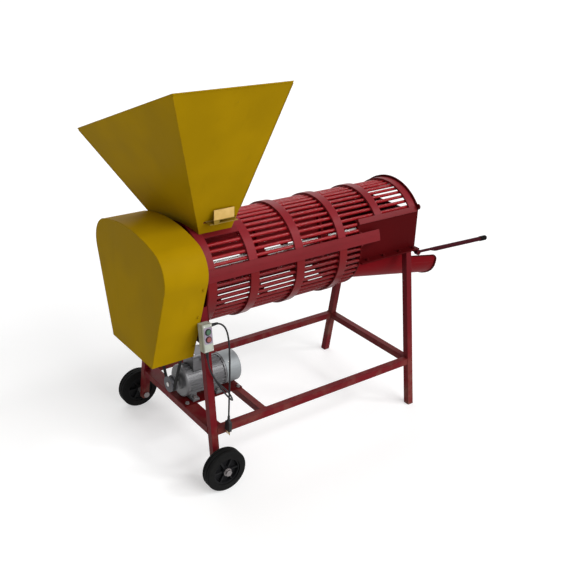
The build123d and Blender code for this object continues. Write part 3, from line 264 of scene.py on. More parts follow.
# %% Finishes
class Finish(Wiring):
    """One material on the piece's own coordinates."""

    def __init__(self, name):
        self.material = bpy.data.materials.new(name)
        super().__init__(self.material)
        self.place = self.add("ShaderNodeTexCoord", output="Object")

    def noise(self, scale, detail, stretch=None):
        """Clouds of some scale and detail, which may be stretched along an axis."""
        place = self.place
        if stretch:
            place = self.add("ShaderNodeMapping", {}, {"Vector": place, "Scale": stretch})
        return self.add("ShaderNodeTexNoise", {}, {"Vector": place, "Scale": scale, "Detail": detail})

    def fade(self, value, low, high):
        """A smooth step from 0 at low to 1 at high."""
        settings = {"interpolation_type": "SMOOTHSTEP"}
        return self.add("ShaderNodeMapRange", settings, {"Value": value, "From Min": low, "From Max": high})

    def mix(self, share, first, second):
        """Blend two colours, the node's sockets 6 and 7, by a share from 0 to 1."""
        return self.add("ShaderNodeMix", {"data_type": "RGBA"}, {0: share, 6: first, 7: second}, 2)

    def height(self):
        """The height on the piece."""
        return self.add("ShaderNodeSeparateXYZ", {}, {"Vector": self.place}, "Z")

    def bump(self, relief, depth, strength, rounded):
        """Relief as a direction for the shader, on top of the rounded one."""
        inputs = {"Height": relief, "Distance": depth, "Strength": strength, "Normal": rounded}
        return self.add("ShaderNodeBump", {}, inputs)

    def coat(self, **sockets):
        """Close the material with its shader."""
        inputs = {name.replace("_", " "): value for name, value in sockets.items()}
        shader = self.add("ShaderNodeBsdfPrincipled", {}, inputs)
        self.add("ShaderNodeOutputMaterial", {}, {"Surface": shader})
        return self.material


def tone(colour, factor=1.0):
    """A colour made lighter or darker, with full alpha."""
    return (*[min(1.0, part * factor) for part in colour], 1.0)


finishes = {}
print("class made:", Finish.__name__)

# %% [markdown]
# The pale floor catches the shadow. More light would make it white, but would bleach the machine too. So
# the floor glows a little to the camera and to mirrors only, which lifts the lit floor to white while the
# shadow stays. The sky is white where it is seen, and a softer even light elsewhere.

# %% Floor and sky
FLOOR_SIZE = 60.0
FLOOR_DROP = 0.0005
FLOOR_PALE = 0.70
FLOOR_GLOW = 0.42
SKY_LIGHT = 0.34


def begin():
    """Let go of everything that is selected."""
    bpy.ops.object.select_all(action="DESELECT")


begin()
bpy.ops.mesh.primitive_plane_add(size=FLOOR_SIZE, location=(0, 0, -FLOOR_DROP))
floor = bpy.context.object
floor.name = "floor"
pale = Finish("floor_pale")
pale_floor = pale.coat(Base_Color=tone([FLOOR_PALE] * 3), Roughness=0.9, Specular_IOR_Level=0.0,
                       Emission_Color=pale.seen() * FLOOR_GLOW, Emission_Strength=1.0)
floor.data.materials.append(pale_floor)

world = bpy.data.worlds.new("sky")
bpy.context.scene.world = world
sky = Wiring(world)
sky_level = sky.seen() * (1.0 - SKY_LIGHT) + SKY_LIGHT
background = sky.add("ShaderNodeBackground", {}, {"Color": tone((1, 1, 1)), "Strength": sky_level})
sky.add("ShaderNodeOutputWorld", {}, {"Surface": background})
print("floor:", FLOOR_SIZE, "m, sky light:", SKY_LIGHT)

# %% [markdown]
# No edge of a real machine is razor sharp, and paint wears there first. A bevel on every solid would change
# the frame's meshes, so a Bevel node rounds only the look of the edges. Where its direction leaves the
# face's own, there is an edge to rub.

# %% Edge wear
EDGE_STARTS = 0.985
EDGE_FULL = 0.90


def soft_edge(skin, radius):
    """The rounded direction near edges, and a mask that is 1 on them."""
    rounded = skin.add("ShaderNodeBevel", {"samples": 4}, {"Radius": radius})
    flat = skin.add("ShaderNodeNewGeometry", output="Normal")
    settings = {"operation": "DOT_PRODUCT"}
    likeness = skin.add("ShaderNodeVectorMath", settings, {0: rounded, 1: flat}, "Value")
    return rounded, skin.fade(likeness, EDGE_STARTS, EDGE_FULL)


print("edges are rubbed where the cosine of their turn is below", EDGE_STARTS)

# %% [markdown]
# The machine is sprayed in workshop enamel, yellow on hopper and guard and red elsewhere. A flat colour
# would look like plastic, so one recipe gives all the paints what a gun and some years leave: the tone
# drifts, streaks run down, dust settles low, small chips show darker primer, edges are rubbed and the
# surface keeps its orange peel.

# %% Paint recipe
PAINT_ROUND = 0.0018
PEEL_DEPTH = 0.0006
HUSK_DUST = (0.24, 0.18, 0.13)
RUN_DOWN = (1.0, 1.0, 0.08)


def paint(name, colour, primer, rough, shine, chips, dust_height=0.30):
    """Sprayed paint over primer, with a share of chips and dust up to a height."""
    skin = Finish(name)
    rounded, edge = soft_edge(skin, PAINT_ROUND)
    drift = skin.noise(4.0, 2.0)
    body = skin.mix(skin.fade(drift, 0.35, 0.68), tone(colour, 0.92), tone(colour, 1.06))
    streaks = skin.fade(skin.noise(26.0, 2.0, RUN_DOWN), 0.56, 0.80) * 0.20
    body = skin.mix(streaks, body, tone(colour, 0.72))
    dust = skin.fade(skin.height(), dust_height, 0.0) * skin.fade(skin.noise(18.0, 4.0), 0.36, 0.70) * 0.35
    body = skin.mix(dust, body, tone(HUSK_DUST))
    rubbed = edge * skin.fade(skin.noise(60.0, 3.0), 0.42, 0.62)
    body = skin.mix(rubbed * 0.45, body, tone(primer))
    flakes = skin.fade(skin.noise(170.0, 2.0), 0.69, 0.72)
    chipped = flakes * skin.fade(skin.noise(8.0, 3.0), 0.62 - chips, 0.74 - chips)
    body = skin.mix(chipped * 0.8, body, tone(primer))
    roughness = skin.fade(drift, 0.2, 0.8) * 0.10 + chipped * 0.30 + dust * 0.35 + rubbed * 0.2 + rough
    peel = skin.noise(420.0, 2.0) * 0.25 - chipped * 0.6
    normal = skin.bump(peel, PEEL_DEPTH, 0.35, rounded)
    finishes[name] = skin.coat(Base_Color=body, Roughness=roughness, Normal=normal, Specular_IOR_Level=shine)


print("paint peel:", PEEL_DEPTH * 1000, "mm")

# %% [markdown]
# One tin of red could paint the whole machine, but on a used one every group of pieces has aged in its own
# way.
# The upper round bars are the glossiest and are painted brightest, and the drum's lower half is painted
# darker, as painted light and painted shade from above. The rotor is darker too, the folded plates and the
# lever are dark, and dust climbs highest on the frame.

# %% Paints
paint("yellow_paint", (0.380, 0.228, 0.002), (0.16, 0.10, 0.02), rough=0.44, shine=0.012, chips=0.02)
paint("drum_red_paint", (0.216, 0.015, 0.021), (0.07, 0.015, 0.015), rough=0.30, shine=0.08, chips=0.03)
# The upper bars are painted lighter and the lower bars and hoops darker: painted light and shade from above.
paint("bar_red_paint", (0.290, 0.007, 0.011), (0.07, 0.010, 0.010), rough=0.10, shine=0.18, chips=0.02)
paint("lower_half_shade_paint", (0.165, 0.006, 0.008), (0.05, 0.010, 0.010), rough=0.16, shine=0.12, chips=0.03)
paint("rotor_red_paint", (0.150, 0.004, 0.006), (0.05, 0.010, 0.010), rough=0.42, shine=0.04, chips=0.04)
paint("rail_red_paint", (0.168, 0.010, 0.014), (0.06, 0.015, 0.015), rough=0.34, shine=0.12, chips=0.03)
paint("frame_red_paint", (0.140, 0.007, 0.011), (0.05, 0.012, 0.012), rough=0.36, shine=0.06, chips=0.04,
      dust_height=0.42)
paint("plate_red_paint", (0.074, 0.003, 0.004), (0.04, 0.010, 0.010), rough=0.40, shine=0.020, chips=0.04)
paint("chute_red_paint", (0.205, 0.004, 0.008), (0.07, 0.012, 0.012), rough=0.40, shine=0.015, chips=0.03)
paint("lever_red_paint", (0.042, 0.003, 0.007), (0.03, 0.008, 0.008), rough=0.34, shine=0.04, chips=0.03)
print("paints:", len(finishes))

# %% [markdown]
# Bare metals are steel with fine lines drawn along it, brass, and coarse grey castings. The motor is
# enamelled in mid grey, with a paler fan cover. A metal with one even roughness looks like chrome, so
# stretched noise brushes it, clouds of stain dull it and its edges are lighter. Enamel is the same recipe
# with little metal in it.

# %% Metals
METAL_ROUND = 0.0010
METAL_DEPTH = 0.0004
BRUSHED_ALONG = (0.10, 1.0, 1.0)


def bare_metal(name, colour, stain, rough, grain, stains, metal=1.0, shine=0.5, relief=0.40):
    """Brushed metal with a share of stains."""
    skin = Finish(name)
    rounded, edge = soft_edge(skin, METAL_ROUND)
    brushed = skin.noise(240.0, 3.0, BRUSHED_ALONG)
    spots = skin.fade(skin.noise(22.0, 4.0), 0.66 - stains, 0.84 - stains)
    body = skin.mix(brushed, tone(colour, 0.82), tone(colour, 1.10))
    body = skin.mix(spots * 0.7, body, tone(stain))
    body = skin.mix(edge * 0.35, body, tone(colour, 1.35))
    roughness = brushed * 0.14 + spots * 0.30 + rough
    normal = skin.bump(skin.noise(grain, 3.0) + brushed * 0.4, METAL_DEPTH, relief, rounded)
    finishes[name] = skin.coat(Base_Color=body, Metallic=metal, Roughness=roughness, Normal=normal,
                               Specular_IOR_Level=shine)


bare_metal("turned_steel", (0.56, 0.55, 0.53), (0.20, 0.12, 0.07), rough=0.28, grain=500.0, stains=0.02)
bare_metal("polished_shaft", (0.80, 0.79, 0.77), (0.50, 0.44, 0.38), rough=0.16, grain=700.0, stains=-0.02,
           relief=0.08)
bare_metal("dull_steel", (0.24, 0.22, 0.22), (0.14, 0.08, 0.05), rough=0.42, grain=400.0, stains=0.03,
           metal=0.80)
bare_metal("brass_pins", (0.60, 0.43, 0.17), (0.30, 0.18, 0.06), rough=0.26, grain=500.0, stains=0.02)
bare_metal("grey_casting", (0.10, 0.10, 0.11), (0.12, 0.06, 0.03), rough=0.55, grain=260.0, stains=0.05,
           metal=0.45)
bare_metal("motor_enamel", (0.135, 0.134, 0.140), (0.10, 0.10, 0.10), rough=0.28, grain=320.0, stains=0.04,
           metal=0.20)
bare_metal("fan_cover_enamel", (0.27, 0.29, 0.30), (0.19, 0.20, 0.21), rough=0.42, grain=320.0, stains=0.02,
           metal=0.20, shine=0.3)
print("paints and metals:", len(finishes))

# %% [markdown]
# The feed slide is zinc sheet. Its handle stays bright, and the flat part that runs through the hopper's
# neck is stained by paint and husk dust. Two materials would need two sets of faces, so one material tells
# the parts apart by the height on the piece.

# %% Feed slide
SLIDE_ROUND = 0.0010
SPANGLE_DEPTH = 0.0004
STAIN_TOP = 1.0660
HANDLE_FOOT = 1.0690
HANDLE_DARK = (0.58, 0.37, 0.10)
HANDLE_LIGHT = (0.68, 0.45, 0.15)
STAINED_DARK = (0.20, 0.125, 0.008)
STAINED_LIGHT = (0.27, 0.165, 0.012)
WORN_ZINC = (0.80, 0.60, 0.32)

skin = Finish("zinc_slide")
rounded, edge = soft_edge(skin, SLIDE_ROUND)
clouds = skin.fade(skin.noise(34.0, 4.0), 0.3, 0.7)
spangle = skin.noise(160.0, 3.0)
handle = skin.mix(clouds, tone(HANDLE_DARK), tone(HANDLE_LIGHT))
stained = skin.mix(clouds, tone(STAINED_DARK), tone(STAINED_LIGHT))
body = skin.mix(skin.fade(skin.height(), STAIN_TOP, HANDLE_FOOT), stained, handle)
body = skin.mix(edge * 0.30, body, tone(WORN_ZINC))
normal = skin.bump(spangle, SPANGLE_DEPTH, 0.40, rounded)
roughness = spangle * 0.2 + 0.38
finishes["zinc_slide"] = skin.coat(Base_Color=body, Metallic=0.15, Roughness=roughness, Normal=normal,
                                   Specular_IOR_Level=0.3)
print("slide bright above", HANDLE_FOOT, "m")

# %% [markdown]
# Tyres, belt and leads are matt black rubber, rims and glands black plastic, and the switch box is a pale
# moulding with a lilac face plate and two coloured keys. What tells rubber from plastic is grain and gloss,
# so one recipe with a few numbers makes them all. It also gives a cloudy tone, paler edges and some dust.

# %% Rubber and plastic
MOULD_ROUND = 0.0014
MOULD_DEPTH = 0.0005
ROAD_DUST = (0.20, 0.18, 0.15)


def moulded(name, colour, rough, grain, dust, shine):
    """Rubber or plastic with a fine grain and a share of dust."""
    skin = Finish(name)
    rounded, edge = soft_edge(skin, MOULD_ROUND)
    clouds = skin.fade(skin.noise(30.0, 4.0), 0.3, 0.7)
    fine = skin.noise(grain, 2.0)
    body = skin.mix(clouds, tone(colour, 0.88), tone(colour, 1.10))
    dusty = skin.fade(skin.noise(12.0, 5.0), 0.50, 0.78) * dust
    body = skin.mix(dusty, body, tone(ROAD_DUST))
    body = skin.mix(edge * 0.25, body, tone(colour, 1.6))
    roughness = fine * 0.16 + dusty * 0.30 + rough
    normal = skin.bump(fine, MOULD_DEPTH, 0.35, rounded)
    finishes[name] = skin.coat(Base_Color=body, Roughness=roughness, Normal=normal, Specular_IOR_Level=shine)


moulded("tyre_rubber", (0.0070, 0.0070, 0.0070), rough=0.66, grain=320.0, dust=0.05, shine=0.08)
moulded("rim_plastic", (0.010, 0.010, 0.011), rough=0.50, grain=260.0, dust=0.05, shine=0.12)
moulded("belt_rubber", (0.014, 0.014, 0.014), rough=0.66, grain=500.0, dust=0.06, shine=0.2)
moulded("lead_rubber", (0.010, 0.010, 0.012), rough=0.48, grain=700.0, dust=0.03, shine=0.25)
moulded("grip_rubber", (0.006, 0.004, 0.004), rough=0.60, grain=420.0, dust=0.02, shine=0.05)
moulded("black_plastic", (0.012, 0.012, 0.013), rough=0.44, grain=420.0, dust=0.04, shine=0.3)
moulded("box_plastic", (0.40, 0.43, 0.37), rough=0.48, grain=380.0, dust=0.08, shine=0.3)
moulded("face_plastic", (0.29, 0.24, 0.31), rough=0.44, grain=380.0, dust=0.05, shine=0.3)
moulded("green_key", (0.05, 0.12, 0.07), rough=0.34, grain=300.0, dust=0.02, shine=0.4)
moulded("red_key", (0.24, 0.06, 0.06), rough=0.34, grain=300.0, dust=0.02, shine=0.4)
print("all finishes:", len(finishes))

# %% [markdown]
# Each solid of the frame keeps its shape and takes one finish in its material slots. The rotor's blades and
# pegs are darker than the upper half, the drum's lower half is painted darker as painted shade from above,
# and the shaft stays bright. A line for each solid would be long, and a list for each finish is easier to
# check against the machine.

# %% Dress the solids
DRESS = {
    "yellow_paint": ["hopper", "belt_guard"],
    "drum_red_paint": ["upper_hoops"],
    "bar_red_paint": ["upper_bars"],
    # painted shade: the drum's lower bars and hoops are darker than the upper ones
    "lower_half_shade_paint": ["lower_bars", "lower_hoops"],
    "rotor_red_paint": ["rotor_spiders", "beater_bars", "beater_pegs"],
    "rail_red_paint": ["split_rails", "cover_rails", "drum_bolts", "throat_frame", "throat_plate"],
    "chute_red_paint": ["discharge_chute"],
    "plate_red_paint": ["outlet_bulkhead", "outlet_wall_near", "outlet_wall_far", "discharge_end_plate",
                        "drive_end_plate", "guard_back_plate", "motor_plate", "gate_flap"],
    "frame_red_paint": ["stand_leg_near", "stand_leg_far", "wheel_leg_near", "wheel_leg_far",
                        "side_rail_near", "side_rail_far", "cross_rail_wheel_end", "cross_rail_stand_end",
                        "cross_rail_motor"],
    "lever_red_paint": ["gate_lever"],
    "polished_shaft": ["rotor_shaft"],
    "turned_steel": ["armature_shaft"],
    "dull_steel": ["stub_axles", "axle_nuts"],
    "zinc_slide": ["feed_gate"],
    "grey_casting": ["drive_bearing", "discharge_bearing", "rotor_pulley", "motor_pulley"],
    "motor_enamel": ["motor_body", "motor_front_shield", "terminal_box"],
    "fan_cover_enamel": ["motor_fan_cover"],
    "rim_plastic": ["rim_near", "rim_far"],
    "tyre_rubber": ["tyre_near", "tyre_far"],
    "belt_rubber": ["drive_belt"],
    "lead_rubber": ["mains_lead", "motor_lead"],
    "black_plastic": ["mains_plug", "cable_glands", "lever_grip", "motor_fan"],
    "box_plastic": ["switch_box"],
    "green_key": ["start_button"],
    "red_key": ["stop_button"],
}
for finish, names in DRESS.items():
    for name in names:
        for holder in nodes[name].material_slots:
            holder.material = finishes[finish]
for lead in (mains_lead, motor_lead):
    lead.data.materials.append(finishes["lead_rubber"])
print("solids dressed:", sum(len(names) for names in DRESS.values()))

# %% [markdown]
# The small pieces are modelled as by hand: a primitive is added, its faces or edges are chosen, and
# operators shape them. An operator acts on all that is selected, so nothing may be left selected by chance.
# These helpers take one piece, and in edit mode choose faces by their direction or edges by their run.

# %% Helpers that select
FACING = 0.9


def take(piece):
    """Make one piece the only one selected."""
    begin()
    piece.select_set(True)
    bpy.context.view_layer.objects.active = piece


def choose(kind, test):
    """In edit mode, select the faces or edges that pass a test."""
    bpy.ops.mesh.select_mode(type=kind)
    bpy.ops.mesh.select_all(action="DESELECT")
    mesh = bpy.context.object.data
    shape = bmesh.from_edit_mesh(mesh)
    for part in shape.faces if kind == "FACE" else shape.edges:
        if test(part):
            part.select_set(True)
    bmesh.update_edit_mesh(mesh)


def choose_top():
    """Select the faces that look up."""
    choose("FACE", lambda face: face.normal.z > FACING)


print("helpers made:", take.__name__, choose.__name__, choose_top.__name__)

# %% [markdown]
# Most pieces come from three moves of a workshop: a slab is sawn to size, one shape is cut out of another,
# and round things are turned on a lathe. Cylinders could be stacked for the last, but a profile that is
# extruded point by point and spun gives one clean skin with every shoulder in it.

# %% Helpers that shape
SEED = 0.001
MERGE = 0.00002
FULL_TURN = 2 * pi


def slab(size, middle):
    """A cube brought to its size and place, in object mode."""
    begin()
    bpy.ops.mesh.primitive_cube_add(size=1.0, location=middle)
    piece = bpy.context.object
    piece.scale = size
    bpy.ops.object.transform_apply(location=True, rotation=True, scale=True)
    return piece


def apply_modifier(piece, kind, **settings):
    """Add a modifier, set it and apply it."""
    take(piece)
    modifier = piece.modifiers.new("shape", kind)
    for name, value in settings.items():
        setattr(modifier, name, value)
    bpy.ops.object.modifier_apply(modifier=modifier.name)


def cut(piece, cutter):
    """Take one shape away from another."""
    apply_modifier(piece, "BOOLEAN", operation="DIFFERENCE", solver="EXACT", object=cutter)
    bpy.data.objects.remove(cutter)


def turned(profile, steps=24):
    """Spin a chain of (radius, height) points round the upright axis, as on a lathe."""
    begin()
    bpy.ops.mesh.primitive_plane_add(size=SEED)
    bpy.ops.object.mode_set(mode="EDIT")
    bpy.ops.mesh.select_mode(type="VERT")
    bpy.ops.mesh.select_all(action="SELECT")
    bpy.ops.mesh.merge(type="CENTER")
    bpy.ops.transform.translate(value=(profile[0][0], 0, profile[0][1]))
    for before, after in zip(profile, profile[1:]):
        step = (after[0] - before[0], 0, after[1] - before[1])
        bpy.ops.mesh.extrude_region_move(TRANSFORM_OT_translate={"value": step})
    bpy.ops.mesh.select_all(action="SELECT")
    bpy.ops.mesh.spin(steps=steps, angle=FULL_TURN, center=(0, 0, 0), axis=(0, 0, 1))
    bpy.ops.mesh.select_all(action="SELECT")
    bpy.ops.mesh.remove_doubles(threshold=MERGE)
    bpy.ops.mesh.normals_make_consistent(inside=False)
    bpy.ops.object.mode_set(mode="OBJECT")
    return bpy.context.object


print("helpers made:", slab.__name__, apply_modifier.__name__, cut.__name__, turned.__name__)

# %% [markdown]
# What repeats is modelled once, at the origin with its foot down, and copied to each of its places. Linked
# copies would share one mesh, but a finished piece needs its place in its own mesh, so every copy has one
# and they are joined. Handing over settles the piece, gives it a finish and lets it ride with a body of the
# machine.

# %% Helpers that copy and hand over
SMOOTH_BELOW = radians(35)


def facing(place, normal):
    """A placement that turns a piece's own up to a direction."""
    return Matrix.Translation(place) @ Vector(normal).to_track_quat("Z", "Y").to_matrix().to_4x4()


def join(pieces):
    """Several pieces as one mesh."""
    take(pieces[0])
    for piece in pieces:
        piece.select_set(True)
    if len(pieces) > 1:
        bpy.ops.object.join()
    return bpy.context.object


def copies(pattern, placements):
    """Copy a pattern to each placement, every copy with its own mesh, as one piece."""
    made = []
    for placement in placements:
        twin = pattern.copy()
        twin.data = pattern.data.copy()
        twin.data.transform(placement)
        bpy.context.scene.collection.objects.link(twin)
        made.append(twin)
    bpy.data.objects.remove(pattern)
    return join(made)


def hand_over(piece, name, body, finish, slot):
    """Settle a piece at the origin, give it its finish and let it ride."""
    take(piece)
    bpy.ops.object.transform_apply(location=True, rotation=True, scale=True)
    bpy.ops.object.shade_smooth_by_angle(angle=SMOOTH_BELOW)
    piece.name = name
    piece.data.name = name
    piece.data.materials.clear()
    piece.data.materials.append(finishes[finish])
    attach(piece, body)
    print(name, len(piece.data.polygons), "faces")
    return piece


print("helpers made:", facing.__name__, join.__name__, copies.__name__, hand_over.__name__)

# %% [markdown]
# Hexagon bolts hold sheet to sheet. They have no work to do in the model, so they are looks alone. A
# cylinder of six sides would pass from afar, but the chamfered crown and the round washer are what the
# light catches. The crown is inset and lifted, and the washer is turned.

# %% Hexagon bolt
WASHER_FOOT = 0.66
WASHER_TOP = 0.62
WASHER_WALL = 0.6
CROWN_INSET = 0.07
CROWN_RISE = 0.12
MACHINE_BOLT = {"flats": 0.013, "head": 0.0065, "washer": 0.0018}
GUARD_BOLT = {"flats": 0.011, "head": 0.0032, "washer": 0.0012}


def hexagon_bolt(flats, head, washer):
    """A six-sided head on a washer, sized by the width across its flats and the two heights."""
    foot = flats * WASHER_FOOT
    profile = [(0, 0), (foot, 0), (foot, washer * WASHER_WALL), (flats * WASHER_TOP, washer), (0, washer)]
    ring = turned(profile)
    begin()
    bpy.ops.mesh.primitive_cylinder_add(vertices=6, radius=flats / 2 / cos(pi / 6), depth=head,
                                        location=(0, 0, washer + head / 2))
    crown = bpy.context.object
    bpy.ops.object.mode_set(mode="EDIT")
    choose_top()
    bpy.ops.mesh.inset(thickness=flats * CROWN_INSET)
    bpy.ops.transform.translate(value=(0, 0, head * CROWN_RISE))
    bpy.ops.object.mode_set(mode="OBJECT")
    bpy.ops.object.transform_apply(location=True, rotation=True, scale=True)
    return join([ring, crown])


print("bolt sizes:", MACHINE_BOLT["flats"], GUARD_BOLT["flats"])

# %% [markdown]
# The outlet's walls are bolted down along their flanges, and the end plate round its rim. Along the
# flanges a listed spacing is near enough. Round the rim an uneven one would show, so there each place is
# worked out from an angle.

# %% Outlet bolts
AXIS_HEIGHT = 0.802
FLANGE_ACROSS = 0.206
FLANGE_TOP = 0.752
FLANGE_STATIONS = (0.850, 0.945, 1.040, 1.125)
PLATE_FACE = 1.156
PLATE_CIRCLE = 0.214
PLATE_ANGLES = (42, 66, 90, 114, 138)

outlet_spots = []
for along in FLANGE_STATIONS:
    for side in (-1, 1):
        outlet_spots.append(facing(at(along, side * FLANGE_ACROSS, FLANGE_TOP), (0, 0, 1)))
for angle in PLATE_ANGLES:
    across = -PLATE_CIRCLE * cos(radians(angle))
    rim = at(PLATE_FACE, across, AXIS_HEIGHT + PLATE_CIRCLE * sin(radians(angle)))
    outlet_spots.append(facing(rim, (1, 0, 0)))
outlet_bolts = copies(hexagon_bolt(**MACHINE_BOLT), outlet_spots)
hand_over(outlet_bolts, "outlet_bolts", "frame", "plate_red_paint", "red_paint")

# %% [markdown]
# Three flat bolts on each side hold the belt guard to its back plate. They are painted over with the guard.
# The sides flare upwards, so each bolt's place and direction follow the flare instead of being typed in.

# %% Guard bolts
GUARD_FOOT = 0.512
GUARD_FOOT_HALF = 0.168
GUARD_FLARE = 0.314
GUARD_BOLT_LINE = -0.024
GUARD_BOLT_HEIGHTS = (0.570, 0.720, 0.850)

guard_spots = []
for side in (-1, 1):
    for up in GUARD_BOLT_HEIGHTS:
        half = GUARD_FOOT_HALF + GUARD_FLARE * (up - GUARD_FOOT)
        guard_spots.append(facing(at(GUARD_BOLT_LINE, side * half, up), (0, side, -GUARD_FLARE)))
guard_bolts = copies(hexagon_bolt(**GUARD_BOLT), guard_spots)
hand_over(guard_bolts, "guard_bolts", "frame", "yellow_paint", "yellow_paint")

# %% [markdown]
# Four bolts hold the motor's plate to the cross rails and four the motor's feet to the plate. Both sets
# stand on the corners of a rectangle, so each is two rows by two columns at one height. These stay bare
# steel, because they come off with the motor.

# %% Motor bolts
PLATE_CORNERS = {"rows": (0.010, 0.264), "columns": (-0.082, 0.042), "top": 0.240}
FOOT_CORNERS = {"rows": (0.052, 0.166), "columns": (-0.074, 0.034), "top": 0.252}


def corner_spots(rows, columns, top):
    """Upright placements on the corners of a rectangle."""
    return [facing(at(along, across, top), (0, 0, 1)) for along in rows for across in columns]


motor_spots = corner_spots(**PLATE_CORNERS) + corner_spots(**FOOT_CORNERS)
motor_bolts = copies(hexagon_bolt(**MACHINE_BOLT), motor_spots)
hand_over(motor_bolts, "motor_bolts", "frame", "dull_steel", "bright_steel")

# %% [markdown]
# Weld beads, folded edges and rolled rims are all thin round runs along a path. A row of overlapping balls
# would make a weld too, with far more faces. Here a curve gets a round section, is turned into a mesh and,
# for a weld, is roughened by a cloud texture. A run may also thin towards its ends.

# %% Beads
RIPPLE_SIZE = 0.006
THINNING_POINTS = 8
SMOOTH_RUN = {"rough": 0.0, "step": 0.03}
ripple = bpy.data.textures.new("weld_ripple", "CLOUDS")
ripple.noise_scale = RIPPLE_SIZE


def run_points(corners, step, closed):
    """Points every step along straight runs between corners."""
    ends = corners[1:] + corners[:1] if closed else corners[1:]
    points = []
    for start, end in zip(corners, ends):
        count = max(1, round((end - start).length / step))
        points += [start.lerp(end, number / count) for number in range(count)]
    return points if closed else points + [corners[-1]]


def bead(corners, radius, closed=True, rough=0.5, step=0.006, thin_ends=1.0):
    """A round run along corners, rough as a weld or smooth as a fold."""
    begin()
    curve = bpy.data.curves.new("bead", "CURVE")
    curve.dimensions = "3D"
    curve.bevel_depth = radius
    curve.bevel_resolution = 2
    curve.use_fill_caps = True
    points = run_points(corners, step, closed)
    spline = curve.splines.new("POLY")
    spline.points.add(len(points) - 1)
    for number, place in enumerate(points):
        from_end = min(number, len(points) - 1 - number)
        spline.points[number].co = (*place, 1.0)
        spline.points[number].radius = min(1.0, thin_ends + from_end * (1.0 - thin_ends) / THINNING_POINTS)
    spline.use_cyclic_u = closed
    piece = bpy.data.objects.new("bead", curve)
    bpy.context.scene.collection.objects.link(piece)
    take(piece)
    bpy.ops.object.convert(target="MESH")
    piece = bpy.context.object
    if rough:
        apply_modifier(piece, "DISPLACE", texture=ripple, texture_coords="LOCAL", strength=radius * rough)
    return piece


print("weld ripples:", RIPPLE_SIZE * 1000, "mm")

# %% [markdown]
# The frame is square tube, welded all round where one tube meets another. A loop could be written corner by
# corner, but every joint is a rectangle in a plane of the machine, so two opposite corners are enough. One
# side is written and the other is its mirror image.

# %% Frame welds
FRAME_WELD = 0.0022
RAIL_LOW = 0.204
RAIL_HIGH = 0.234
SIDE_RAIL = (0.271, 0.301)
SIDE_RAIL_ENDS = (0.0235, 1.0725)
CROSS_RAILS = ((0.2690, -0.007, 0.053), (0.2690, 1.073, 1.103), (0.2705, 0.248, 0.278))
LEG_TOP = 0.7455
LEG_TOP_ACROSS = (0.1899, 0.2199)
LEG_TOP_ALONG = (1.073, 1.103)


def loop(low, high):
    """The corners of a rectangle between two opposite corners that share one coordinate."""
    first, second = [axis for axis in range(3) if low[axis] != high[axis]]
    corners = [low.copy(), low.copy(), high.copy(), low.copy()]
    corners[1][first] = high[first]
    corners[3][second] = high[second]
    return corners


joints = []
for side in (-1, 1):
    inner, outer = sorted(side * across for across in SIDE_RAIL)
    for along in SIDE_RAIL_ENDS:
        joints.append(loop(at(along, inner, RAIL_LOW), at(along, outer, RAIL_HIGH)))
    for across, start, end in CROSS_RAILS:
        joints.append(loop(at(start, side * across, RAIL_LOW), at(end, side * across, RAIL_HIGH)))
    inner, outer = sorted(side * across for across in LEG_TOP_ACROSS)
    start, end = LEG_TOP_ALONG
    joints.append(loop(at(start, inner, LEG_TOP), at(end, outer, LEG_TOP)))
frame_welds = join([bead(joint, FRAME_WELD) for joint in joints])
hand_over(frame_welds, "frame_welds", "frame", "frame_red_paint", "frame_paint")

# %% [markdown]
# The hopper is four sheets, welded along their corners from above the neck to just below the rim. A weld
# ground half flat would hardly show, so the bead stands out a little, and it ripples less than the frame's.
# Each lies on the line between a corner of the neck and the one above it.

# %% Hopper welds
HOPPER_WELD = 0.0020
HOPPER_RIPPLE = 0.35
WELD_FROM = 0.16
WELD_TO = 0.985
RIM = {"along": (-0.206, 0.268), "near": (-0.390, 1.6136), "far": (0.374, 1.3355)}
NECK = {"along": (0.057, 0.205), "near": (-0.105, 0.9966), "far": (0.120, 0.9147)}


def mouth_corners(along, near, far):
    """The corners of a tilted mouth, from its two ends and the place and height of its near and far edge."""
    return [at(end, *near) for end in along] + [at(end, *far) for end in reversed(along)]


hopper_beads = []
for top, low in zip(mouth_corners(**RIM), mouth_corners(**NECK)):
    seam = [low + (top - low) * share for share in (WELD_FROM, WELD_TO)]
    hopper_beads.append(bead(seam, HOPPER_WELD, closed=False, rough=HOPPER_RIPPLE))
hand_over(join(hopper_beads), "hopper_welds", "frame", "yellow_paint", "yellow_paint")

# %% [markdown]
# Every bar of the drum is tacked to every hoop by a small weld on each side of the hoop. There are
# hundreds, so each has only a few faces: one blob is squashed from a coarse ball, and copies sit at the
# crossings, turned round the drum's axis. Past the outlet's bulkhead only the bars of the cover go on.

# %% Bar tacks
BAR_STEP = 7.5
LOWER_ROWS = range(-25, 1)
UPPER_ROWS = range(3, 21)
LOWER_HOOPS = (0.049, 0.246, 0.472, 0.698)
UPPER_HOOPS = (0.246, 0.472, 0.698, 0.924)
BULKHEAD = 0.800
COVER_ANGLES = (38.5, 141.5)
TACK_RADIUS = 0.0042
TACK_SQUASH = (0.8, 1.25, 0.75)
TACK_CIRCLE = 0.2125
TACK_FROM_HOOP = 0.0212

